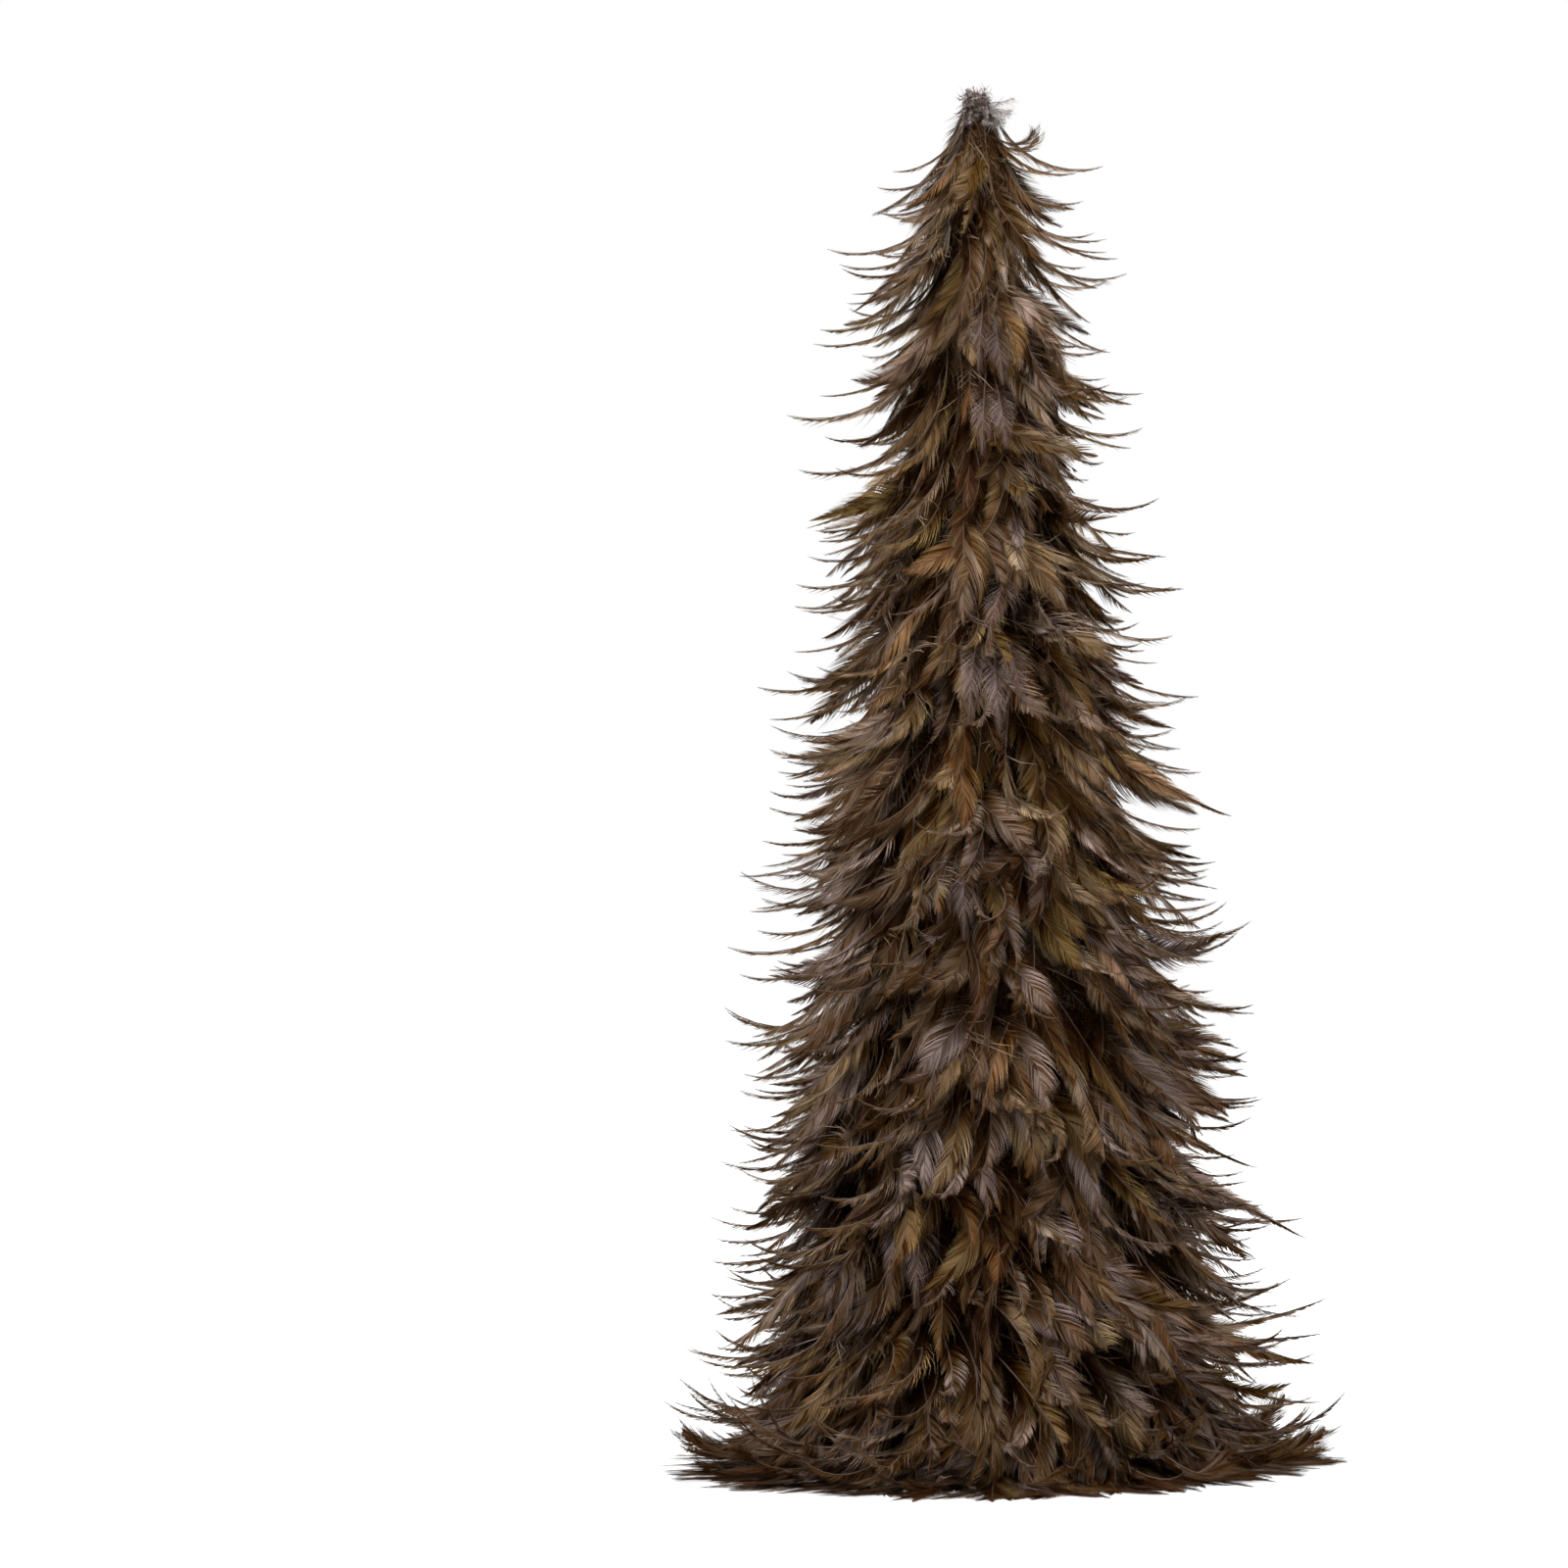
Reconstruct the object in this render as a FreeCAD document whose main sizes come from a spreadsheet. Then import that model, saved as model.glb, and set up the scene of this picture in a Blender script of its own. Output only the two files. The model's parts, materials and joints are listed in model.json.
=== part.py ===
# Feather Christmas tree: a rolled paper cone dressed from foot to tip in rows of hackle feathers.
# Millimetres, +Z up, origin at the middle of the felt pad on the surface that the tree stands on.

import FreeCAD, Part
import math
import os

import Sketcher

# Driving dimensions: cell alias, value, what it is.
SIZES = [
    ("tree_height", 610.0, "floor to the trimmed quill ends"),
    ("felt_thickness", 2.0, "pad under the cone and its board"),
    ("felt_inset", 1.5, "how far the pad stays inside the edge of the cone"),
    ("cone_base_radius", 77.0, "outer radius at the foot"),
    ("cone_tip_radius", 6.0, "outer radius at the tip"),
    ("cone_wall", 1.8, "rolled cardboard"),
    ("board_thickness", 9.0, "fibreboard disc in the foot of the cone"),
    ("fit_gap", 0.25, "glue line between a piece and what it is glued to"),
    ("plug_depth", 26.0, "how far the plug reaches down into the cone"),
    ("plug_shoulder", 1.6, "height of the flange that sits on the cone's tip"),
    ("peg_radius", 3.0, "peg that the top feathers are tied to"),
    ("peg_height", 22.0, "peg above the shoulder"),
    ("tape_width", 8.0, "cotton tape, measured up the tree"),
    ("tape_thickness", 0.6, "cotton tape"),
    ("binding_width", 7.0, "thread round the top quills"),
    ("binding_thickness", 1.2, "thread round the top quills"),
    ("row_count", 26.0, "rows of feathers, the skirt included"),
    ("first_row_height", 19.0, "skirt row, floor to the root of the quills"),
    ("last_row_drop", 13.0, "top row, cone's tip to the root of the quills"),
    ("floor_gap", 0.5, "floor to the lowest edge of a skirt feather"),
    ("layer_gap", 7.0, "spine to spine where a low row bottoms out over the one below"),
    ("skirt_feather_length", 80.0, "longest feather of the skirt"),
    ("feather_length_low", 78.0, "longest feather of a row at the foot"),
    ("feather_length_high", 68.0, "longest feather of the top row"),
    ("feather_pitch", 12.0, "feather to feather round a row, a blade's half length out"),
    ("feather_fan", 25.0, "how far outside the tape the pitch is measured"),
    ("quill_radius", 0.6, "bare quill at the root"),
    ("blade_half_width", 5.8, "vane of barbs, spine to edge"),
    ("blade_thickness", 0.9, "at the spine"),
    ("tip_radius", 0.12, "end of a feather"),
    ("curl_radius", 55.0, "curve of a row feather in the upright plane"),
    ("skirt_curl_radius", 75.0, "curve of a skirt feather in the upright plane"),
    ("apex_feather_length", 66.0, "top feather, trimmed quill end included"),
    ("apex_throat", 5.0, "bend where a top feather leaves the binding"),
    ("apex_quill_pitch", 2.7, "quill to quill round the peg"),
    ("quill_trim", 5.0, "trimmed quill ends above the peg"),
]

# Angles in degrees.
ROW_START_ANGLE = 72.0
APEX_START_ANGLE = 65.0
ROW_ROLL = 13.0
APEX_ROLL = 24.0

# A feather's outline along its length: share of length, share of blade half width, share of thickness.
BLADE_SHARES = [
    (0.07, 0.22, 1.00),
    (0.20, 0.72, 1.00),
    (0.38, 1.00, 1.00),
    (0.58, 0.95, 0.85),
    (0.80, 0.60, 0.60),
]
CUP_SHARE = 0.10
LENGTH_SHARES = (1.0, 0.84, 0.93, 0.78, 0.97, 0.88)
LEAD_SHARES = (0, 0.25, 0.5, 0.75, 1)
GOLDEN_SHARE = 0.618034


def make_sheet(doc):
    """The spreadsheet that holds the driving dimensions."""
    sheet = doc.addObject("Spreadsheet::Sheet", "Sizes")
    for row, (alias, value, meaning) in enumerate(SIZES, start=1):
        sheet.set(f"A{row}", alias)
        sheet.set(f"B{row}", str(value))
        sheet.set(f"C{row}", meaning)
        sheet.setAlias(f"B{row}", alias)
    doc.recompute()
    return sheet


# Heights above the floor that more than one piece follows, as sheet expressions.
PEG_TOP = "(Sizes.tree_height - Sizes.quill_trim)"
SHOULDER_TOP = f"({PEG_TOP} - Sizes.peg_height)"
CONE_TIP = f"({SHOULDER_TOP} - Sizes.plug_shoulder)"


def cone_radius(height):
    """Expression for the cone's outer radius at a height above the floor."""
    taper = "(Sizes.cone_base_radius - Sizes.cone_tip_radius)"
    rise_share = f"({height} - Sizes.felt_thickness) / ({CONE_TIP} - Sizes.felt_thickness)"
    return f"(Sizes.cone_base_radius - {taper} * {rise_share})"


def row_height(row):
    """Expression for the height of a row's quill roots, row 0 being the skirt."""
    climb = f"({CONE_TIP} - Sizes.last_row_drop - Sizes.first_row_height)"
    return f"(Sizes.first_row_height + {row} * {climb} / (Sizes.row_count - 1))"


def turned_body(doc, name, corners):
    """A piece turned about Z: a closed outline in the XZ plane, each corner bound to the sheet."""
    body = doc.addObject("PartDesign::Body", name)
    body.Label = name
    outline = body.newObject("Sketcher::SketchObject", name + "_outline")
    plane = next(item for item in body.Origin.OriginFeatures if item.Role == "XZ_Plane")
    outline.AttachmentSupport = [(plane, "")]
    outline.MapMode = "FlatFace"
    points = [
        FreeCAD.Vector(float(outline.evalExpression(out)), float(outline.evalExpression(up)), 0)
        for out, up in corners
    ]
    for number, point in enumerate(points):
        outline.addGeometry(Part.LineSegment(point, points[(number + 1) % len(points)]), False)
    for number in range(len(points)):
        outline.addConstraint(
            Sketcher.Constraint("Coincident", number, 2, (number + 1) % len(points), 1)
        )
    for number, (out, up) in enumerate(corners):
        bind_corner(outline, number, "DistanceX", -2, out, points[number].x)
        bind_corner(outline, number, "DistanceY", -1, up, points[number].y)
    turning = body.newObject("PartDesign::Revolution", name + "_turning")
    turning.Profile = outline
    turning.ReferenceAxis = (outline, ["V_Axis"])
    turning.Angle = 360.0
    body.Tip = turning
    return body


def bind_corner(outline, corner, kind, axis, expression, value):
    """Hold one coordinate of an outline's corner, on the axis itself where the coordinate is zero."""
    if expression == "0":
        outline.addConstraint(Sketcher.Constraint("PointOnObject", corner, 1, axis))
        return
    held = outline.addConstraint(Sketcher.Constraint(kind, -1, 1, corner, 1, value))
    outline.setExpression(f"Constraints[{held}]", expression)


def make_cone(doc):
    """The rolled cardboard cone, open at both ends."""
    foot = "Sizes.felt_thickness"
    return turned_body(doc, "paper_cone", [
        ("(Sizes.cone_base_radius - Sizes.cone_wall)", foot),
        ("Sizes.cone_base_radius", foot),
        ("Sizes.cone_tip_radius", CONE_TIP),
        ("(Sizes.cone_tip_radius - Sizes.cone_wall)", CONE_TIP),
    ])


def make_base(doc):
    """The fibreboard disc glued in the cone's foot, and the felt pad under both."""
    board_top = "(Sizes.felt_thickness + Sizes.board_thickness)"
    board_radius = f"({cone_radius(board_top)} - Sizes.cone_wall - Sizes.fit_gap)"
    board = turned_body(doc, "base_board", [
        ("0", "Sizes.felt_thickness"),
        (board_radius, "Sizes.felt_thickness"),
        (board_radius, board_top),
        ("0", board_top),
    ])
    felt_radius = "(Sizes.cone_base_radius - Sizes.felt_inset)"
    felt = turned_body(doc, "base_felt", [
        ("0", "0"),
        (felt_radius, "0"),
        (felt_radius, "Sizes.felt_thickness"),
        ("0", "Sizes.felt_thickness"),
    ])
    return [board, felt]


def make_plug(doc):
    """The turned plug in the cone's tip: a tapered shank, a shoulder on the rim and a peg above."""
    shank_foot = f"({CONE_TIP} - Sizes.plug_depth)"
    return turned_body(doc, "apex_plug", [
        ("0", shank_foot),
        (f"({cone_radius(shank_foot)} - Sizes.cone_wall - Sizes.fit_gap)", shank_foot),
        ("(Sizes.cone_tip_radius - Sizes.cone_wall - Sizes.fit_gap)", CONE_TIP),
        ("Sizes.cone_tip_radius", CONE_TIP),
        ("Sizes.cone_tip_radius", SHOULDER_TOP),
        ("Sizes.peg_radius", SHOULDER_TOP),
        ("Sizes.peg_radius", PEG_TOP),
        ("0", PEG_TOP),
    ])


def make_tape(doc, row):
    """One cotton tape round the cone, its upper edge level with the roots of its feathers."""
    upper = row_height(row)
    lower = f"({upper} - Sizes.tape_width)"
    inner_low = f"({cone_radius(lower)} + Sizes.fit_gap)"
    inner_high = f"({cone_radius(upper)} + Sizes.fit_gap)"
    return turned_body(doc, f"row_tape_{row + 1:02d}", [
        (inner_low, lower),
        (f"({inner_low} + Sizes.tape_thickness)", lower),
        (f"({inner_high} + Sizes.tape_thickness)", upper),
        (inner_high, upper),
    ])


def make_binding(doc):
    """The band of thread round the top feathers' quills, against the outside of the quills."""
    inner = "(Sizes.peg_radius + 2 * Sizes.fit_gap + 2 * Sizes.quill_radius)"
    outer = f"({inner} + Sizes.binding_thickness)"
    upper = f"({PEG_TOP} - Sizes.binding_thickness)"
    lower = f"({upper} - Sizes.binding_width)"
    rounding = "Sizes.binding_thickness / 3"
    return turned_body(doc, "apex_binding", [
        (inner, lower),
        (f"({outer} - {rounding})", lower),
        (outer, f"({lower} + {rounding})"),
        (outer, f"({upper} - {rounding})"),
        (f"({outer} - {rounding})", upper),
        (inner, upper),
    ])


def feather_path(start, stretches):
    """Point and downward angle of a feather's spine at a distance along it, in the upright plane.

    Each stretch is a length and the angles below the horizontal where it begins and ends: it is
    straight where they are equal, and otherwise an arc. The last stretch carries on as far as asked.
    """
    def spine(distance):
        point = FreeCAD.Vector(start)
        for length, first, last in stretches:
            run = distance if (length, first, last) == stretches[-1] else min(distance, length)
            angle = first + (last - first) * run / length
            if first == last:
                point += FreeCAD.Vector(math.cos(first), 0, -math.sin(first)) * run
            else:
                curl = length / (first - last)
                point += FreeCAD.Vector(math.sin(first) - math.sin(angle), 0,
                                        math.cos(first) - math.cos(angle)) * curl
            distance -= run
            if distance <= 0:
                break
        return point, angle
    return spine


def blade_section(point, angle, roll, half_width, half_thickness, cup):
    """One cross-section of a feather: a shallow cup with sharp edges, rolled to lie over the next."""
    upward = FreeCAD.Vector(math.sin(angle), 0, math.cos(angle))
    sideways = FreeCAD.Vector(0, 1, 0)
    across = sideways * math.cos(roll) + upward * math.sin(roll)
    proud = upward * math.cos(roll) - sideways * math.sin(roll)
    corners = [
        point - across * half_width - proud * cup,
        point + proud * half_thickness,
        point + across * half_width - proud * cup,
        point - proud * half_thickness,
    ]
    return Part.makePolygon(corners + [corners[0]])


def make_feather(size, spine, quill_places, blade, roll):
    """One feather as a closed blade: bare quill, widening vane and pointed tip.

    The bare quill has a section at each of its places along the spine, and the blade follows it.
    """
    quill = size["quill_radius"]
    tip = size["tip_radius"]
    sections = [blade_section(*spine(place), roll, quill, quill, 0) for place in quill_places]
    for along, wide, thick in BLADE_SHARES:
        half_width = size["blade_half_width"] * wide
        half_thickness = size["blade_thickness"] / 2 * thick
        point, angle = spine(quill_places[-1] + blade * along)
        sections.append(
            blade_section(point, angle, roll, half_width, half_thickness, half_width * CUP_SHARE)
        )
    sections.append(blade_section(*spine(quill_places[-1] + blade), roll, tip, tip, 0))
    return Part.makeLoft(sections, True, False)


def ring_of_feathers(doc, name, kinds, count, turn):
    """A row of separate feathers, evenly spaced round the tree, in a few lengths that take turns."""
    upright = FreeCAD.Vector(0, 0, 1)
    feathers = []
    for number in range(count):
        feather = kinds[number % len(kinds)].copy()
        feather.rotate(FreeCAD.Vector(), upright, 360.0 * (number + turn) / count)
        feathers.append(feather)
    row = doc.addObject("Part::Feature", name)
    row.Label = name
    row.Shape = Part.makeCompound(feathers)
    row.Placement = FreeCAD.Placement()
    return row


def row_start_angle(size, row, height, curl):
    """Steepest start that still flattens out above the floor or the row below, in radians."""
    roll = math.radians(ROW_ROLL)
    edge_dip = size["blade_half_width"] * (math.sin(roll) + CUP_SHARE * math.cos(roll))
    drop = height - size["floor_gap"] - edge_dip - size["layer_gap"] * row
    steepest = math.cos(math.radians(ROW_START_ANGLE))
    return math.acos(max(steepest, 1 - drop / curl))


def make_row(doc, sheet, size, row):
    """One row of feathers: their quills lie on the row's tape, and the lowest row is the skirt."""
    height = float(sheet.evalExpression(row_height(row)))
    tape_face = (float(sheet.evalExpression(cone_radius(row_height(row))))
                 + size["fit_gap"] + size["tape_thickness"])
    root = FreeCAD.Vector(tape_face + size["quill_radius"] + size["fit_gap"], 0, height)
    climb_share = row / (size["row_count"] - 1)
    shortening = size["feather_length_low"] - size["feather_length_high"]
    length = size["feather_length_low"] - shortening * climb_share
    curl = size["curl_radius"]
    if row == 0:
        length = size["skirt_feather_length"]
        curl = size["skirt_curl_radius"]
    start_angle = row_start_angle(size, row, height, curl)
    spine = feather_path(root, [(length, start_angle, start_angle - length / curl)])
    count = round(2 * math.pi * (tape_face + size["feather_fan"]) / size["feather_pitch"])
    roll = math.radians(ROW_ROLL)
    kinds = [make_feather(size, spine, [0], length * share, roll) for share in LENGTH_SHARES]
    return ring_of_feathers(doc, f"row_feathers_{row + 1:02d}", kinds, count, row * GOLDEN_SHARE % 1)


def make_apex_feathers(doc, size):
    """The top feathers, tied round the peg with their quill ends trimmed off above it."""
    ring_radius = size["peg_radius"] + size["fit_gap"] + size["quill_radius"]
    start = FreeCAD.Vector(ring_radius, 0, size["tree_height"])
    lead = (size["quill_trim"] + size["binding_thickness"] + size["binding_width"]
            + size["quill_radius"])
    throat_end = lead + size["apex_throat"]
    blade = size["apex_feather_length"] - throat_end
    start_angle = math.radians(APEX_START_ANGLE)
    upright = math.radians(90)
    spine = feather_path(start, [
        (lead, upright, upright),
        (size["apex_throat"], upright, start_angle),
        (blade, start_angle, start_angle - blade / size["curl_radius"]),
    ])
    roll = math.radians(APEX_ROLL)
    quill_places = [lead * share for share in LEAD_SHARES]
    quill_places += [(lead + throat_end) / 2, throat_end]
    kinds = [make_feather(size, spine, quill_places, blade * share, roll) for share in LENGTH_SHARES]
    count = round(2 * math.pi * ring_radius / size["apex_quill_pitch"])
    return ring_of_feathers(doc, "apex_feathers", kinds, count, 0)


def check_document(doc, parts):
    """Stop if any object failed to rebuild or any sub-part has no valid solid."""
    for item in doc.Objects:
        if "Invalid" in item.State or "Error" in item.State:
            raise RuntimeError(f"{item.Label} did not rebuild: {item.State}")
    for part in parts:
        if part.Shape.isNull() or not part.Shape.isValid() or not part.Shape.Solids:
            raise RuntimeError(f"{part.Label} has no valid solid")


def build():
    """Make every sub-part of the tree and write each to its own file."""
    doc = FreeCAD.newDocument("feather_tree")
    sheet = make_sheet(doc)
    size = {alias: float(sheet.get(alias)) for alias, value, meaning in SIZES}
    rows = range(round(size["row_count"]))
    parts = [make_cone(doc)] + make_base(doc) + [make_plug(doc), make_binding(doc)]
    parts += [make_tape(doc, row) for row in rows]
    parts += [make_row(doc, sheet, size, row) for row in rows]
    parts.append(make_apex_feathers(doc, size))
    doc.recompute()
    check_document(doc, parts)
    os.makedirs("parts", exist_ok=True)
    for part in parts:
        part.Shape.exportStep(f"parts/{part.Label}.step")
    solids = sum(len(part.Shape.Solids) for part in parts)
    print(f"{len(parts)} nodes, {solids} solids")


build()
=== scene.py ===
import json
import math
import random

import bpy
from mathutils import Matrix, Vector

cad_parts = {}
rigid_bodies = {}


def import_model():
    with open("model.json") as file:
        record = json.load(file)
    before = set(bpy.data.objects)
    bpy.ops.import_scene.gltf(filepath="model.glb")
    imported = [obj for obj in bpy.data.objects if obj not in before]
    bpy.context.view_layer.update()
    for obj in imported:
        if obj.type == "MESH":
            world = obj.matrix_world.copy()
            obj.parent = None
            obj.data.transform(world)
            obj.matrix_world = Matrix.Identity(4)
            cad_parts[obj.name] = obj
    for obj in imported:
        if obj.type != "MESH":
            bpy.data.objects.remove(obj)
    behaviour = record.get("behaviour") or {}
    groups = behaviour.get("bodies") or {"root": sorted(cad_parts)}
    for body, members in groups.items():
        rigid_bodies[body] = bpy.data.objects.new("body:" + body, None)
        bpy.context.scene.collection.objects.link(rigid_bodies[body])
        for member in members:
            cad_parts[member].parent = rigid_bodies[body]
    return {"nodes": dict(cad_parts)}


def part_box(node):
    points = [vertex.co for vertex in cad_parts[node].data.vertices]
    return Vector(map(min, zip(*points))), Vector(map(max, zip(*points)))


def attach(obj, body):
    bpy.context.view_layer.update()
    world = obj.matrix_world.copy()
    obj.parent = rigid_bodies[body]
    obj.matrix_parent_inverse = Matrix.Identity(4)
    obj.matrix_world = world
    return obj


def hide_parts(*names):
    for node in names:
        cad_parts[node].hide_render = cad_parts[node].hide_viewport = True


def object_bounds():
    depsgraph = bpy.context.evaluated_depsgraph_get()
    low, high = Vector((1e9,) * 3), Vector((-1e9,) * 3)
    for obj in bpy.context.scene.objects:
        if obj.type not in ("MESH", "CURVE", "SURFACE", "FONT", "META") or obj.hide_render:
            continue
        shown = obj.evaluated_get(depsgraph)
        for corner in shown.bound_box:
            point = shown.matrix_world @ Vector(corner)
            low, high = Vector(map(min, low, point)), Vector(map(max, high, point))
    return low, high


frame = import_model()
cad_box = [list(corner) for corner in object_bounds()]

# The camera stands level with the middle of the tree, a little to its left, and looks through a long
# lens. It is rolled by the one degree that the tree leans in the photograph.
TREE_HEIGHT = cad_box[1][2]
TREE_FOOT_PIXEL = (1008, 1497)
APEX_PIXEL_Y = 92
FRAME_PIXELS = 1600
CAMERA_DISTANCE = 2.85
SENSOR_WIDTH = 36
CAMERA_ROLL = 1.0

metres_per_pixel = TREE_HEIGHT / (TREE_FOOT_PIXEL[1] - APEX_PIXEL_Y)
view_width = metres_per_pixel * FRAME_PIXELS
camera = bpy.data.objects.new("camera", bpy.data.cameras.new("camera"))
camera.data.sensor_width = SENSOR_WIDTH
camera.data.lens = SENSOR_WIDTH * CAMERA_DISTANCE / view_width
camera.location = (
    (FRAME_PIXELS / 2 - TREE_FOOT_PIXEL[0]) * metres_per_pixel,
    -CAMERA_DISTANCE,
    (TREE_FOOT_PIXEL[1] - FRAME_PIXELS / 2) * metres_per_pixel,
)
camera.rotation_euler = (math.radians(90), math.radians(CAMERA_ROLL), 0)
bpy.context.collection.objects.link(camera)
bpy.context.scene.camera = camera


# Rolled cardboard cone, fibreboard disc, felt pad, turned plug, thread and cotton tapes: what the
# feathers are glued or tied to. All are dry, matt craft materials, hidden under the coat but for the
# underside of the felt.
def add_node(tree, kind, settings=None, **inputs):
    """A node with its settings and its inputs filled in, each from a value or another socket."""
    made = tree.nodes.new(kind)
    for key, value in (settings or {}).items():
        setattr(made, key, value)
    for key, value in inputs.items():
        socket = made.inputs[int(key[1:])] if key[1:].isdigit() else made.inputs[key.replace("_", " ")]
        if isinstance(value, bpy.types.NodeSocket):
            tree.links.new(value, socket)
        else:
            socket.default_value = value
    return made


def node_makers(tree):
    """Functions that add one kind of node each to a tree and give what comes out of it."""
    def maths(operation, *values):
        inputs = {f"_{number}": value for number, value in enumerate(values)}
        return add_node(tree, "ShaderNodeMath", {"operation": operation}, **inputs).outputs[0]

    def vectors(operation, **inputs):
        return add_node(tree, "ShaderNodeVectorMath", {"operation": operation}, **inputs).outputs

    def combine(**parts):
        return add_node(tree, "ShaderNodeCombineXYZ", **parts).outputs[0]

    def separate(vector):
        return add_node(tree, "ShaderNodeSeparateXYZ", Vector=vector).outputs

    def span(value, low, high, to_low, to_high):
        return add_node(tree, "ShaderNodeMapRange", _0=value, _1=low, _2=high, _3=to_low,
                        _4=to_high).outputs[0]

    def read(name):
        return add_node(tree, "ShaderNodeAttribute", {"attribute_name": name}).outputs["Fac"]

    return maths, vectors, combine, separate, span, read


def new_material(name):
    """A material, its node tree and its shader."""
    material = bpy.data.materials.new(name)
    material.use_nodes = True
    return material, material.node_tree, material.node_tree.nodes["Principled BSDF"]


def let_light_through(tree, shader, colour, share):
    """Mixes this share of light that comes through from behind into what the shader gives."""
    glow = add_node(tree, "ShaderNodeBsdfTranslucent", Color=colour)
    mixed = add_node(tree, "ShaderNodeMixShader", _0=share, _1=shader.outputs[0], _2=glow.outputs[0])
    tree.links.new(mixed.outputs[0], tree.nodes["Material Output"].inputs["Surface"])


def grain_group():
    """Shader group of the craft materials' grain: two tones that follow a stretched noise."""
    group = bpy.data.node_groups.new("craft_grain", "ShaderNodeTree")
    for name, kind in (("Scale", "Float"), ("Stretch", "Vector"), ("Dark", "Color"), ("Light", "Color")):
        group.interface.new_socket(name, in_out="INPUT", socket_type=f"NodeSocket{kind}")
    for name, kind in (("Color", "Color"), ("Height", "Float")):
        group.interface.new_socket(name, in_out="OUTPUT", socket_type=f"NodeSocket{kind}")
    given = group.nodes.new("NodeGroupInput").outputs
    result = group.nodes.new("NodeGroupOutput").inputs
    place = add_node(group, "ShaderNodeTexCoord").outputs["Object"]
    place = add_node(group, "ShaderNodeMapping", Vector=place, Scale=given["Stretch"]).outputs[0]
    noise = add_node(group, "ShaderNodeTexNoise", Vector=place, Scale=given["Scale"], Detail=6.0)
    height = noise.outputs["Fac"]
    tone = add_node(group, "ShaderNodeMapRange", _0=height, _1=0.3, _2=0.7).outputs[0]
    colour = add_node(group, "ShaderNodeMix", {"data_type": "RGBA"}, _0=tone, _6=given["Dark"],
                      _7=given["Light"]).outputs[2]
    group.links.new(colour, result["Color"])
    group.links.new(height, result["Height"])
    return group


def craft_material(name, dark, light, grain_scale, stretch, roughness, bump_height):
    """A dry, matt craft material with the grain in its colour and its surface."""
    material, tree, shader = new_material(name)
    grain = add_node(tree, "ShaderNodeGroup", {"node_tree": craft_grain}, Scale=grain_scale,
                     Stretch=stretch, Dark=(*dark, 1), Light=(*light, 1))
    bump = add_node(tree, "ShaderNodeBump", Height=grain.outputs["Height"], Distance=bump_height)
    tree.links.new(grain.outputs["Color"], shader.inputs["Base Color"])
    tree.links.new(bump.outputs["Normal"], shader.inputs["Normal"])
    shader.inputs["Roughness"].default_value = roughness
    return material


CRAFT_FINISHES = {
    "paper_cone": {
        "name": "rolled_cardboard", "dark": (0.16, 0.10, 0.055), "light": (0.27, 0.18, 0.10),
        "grain_scale": 90, "stretch": (1, 1, 0.15), "roughness": 0.85, "bump_height": 0.0004,
    },
    "base_board": {
        "name": "pressed_fibreboard", "dark": (0.20, 0.12, 0.06), "light": (0.32, 0.21, 0.12),
        "grain_scale": 400, "stretch": (1, 1, 1), "roughness": 0.8, "bump_height": 0.0003,
    },
    "base_felt": {
        "name": "wool_felt", "dark": (0.018, 0.012, 0.008), "light": (0.045, 0.032, 0.022),
        "grain_scale": 900, "stretch": (1, 1, 1), "roughness": 0.95, "bump_height": 0.0006,
    },
    "apex_plug": {
        "name": "turned_wood", "dark": (0.24, 0.14, 0.07), "light": (0.42, 0.27, 0.15),
        "grain_scale": 160, "stretch": (1, 1, 0.08), "roughness": 0.6, "bump_height": 0.0002,
    },
    "apex_binding": {
        "name": "cotton_thread", "dark": (0.03, 0.018, 0.01), "light": (0.07, 0.045, 0.03),
        "grain_scale": 300, "stretch": (0.2, 0.2, 6), "roughness": 0.9, "bump_height": 0.0005,
    },
    "row_tape": {
        "name": "cotton_tape", "dark": (0.03, 0.02, 0.012), "light": (0.06, 0.042, 0.028),
        "grain_scale": 1400, "stretch": (1, 1, 1), "roughness": 0.9, "bump_height": 0.0003,
    },
}
craft_grain = grain_group()
for node_start, finish in CRAFT_FINISHES.items():
    craft = craft_material(**finish)
    for name, node in frame["nodes"].items():
        if name.startswith(node_start):
            node.data.materials.clear()
            node.data.materials.append(craft)


# A cock's hackle feather: a tapering shaft with barbs on both sides that curve towards the tip, cling
# together in locks and split at the edges. The vane folds shut towards the tip, which makes the tip a
# fine dark sabre. Loose grey down grows near the quill.

# Sizes are shares of the feather's length. Angles are in degrees from the shaft.
SPINE_STEPS = 30
SPINE_STEPS_PAST_TIP = 6
BEND_END = 1.08
SHAFT_STATIONS = 10
SHAFT_RADIUS = 0.0085
SHAFT_TAPER = 0.9
SHAFT_RAISED = 0.002
SHAFT_SHADE = -1.0
FIRST_BARB = 0.035
BARBED_LENGTH = 0.96
BARB_STEPS = ((0.0, 1.0), (0.34, 0.8), (0.7, 0.42), (1.0, 0.0))
BARB_OVERLAP = 0.9
LONGEST_BARB = 0.36
BARB_ROOT_ANGLE = 44
BARB_ROOT_CLOSING = 20
BARB_TIP_ANGLE = 16
BARB_TIP_CLOSING = 9
LEAST_BARB_TIP_ANGLE = 4
LOCK_SWING = 2.8
LOCK_LIFT = 0.10
LOCK_PULL = 0.08
TORN_LOCK_PULL = 0.55
TORN_LOCK_CHANCE = 0.25
DOWN_FADE = 0.16
MAP_LENGTH = 1.12
MAP_HALF_WIDTHS = 3.2


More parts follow.
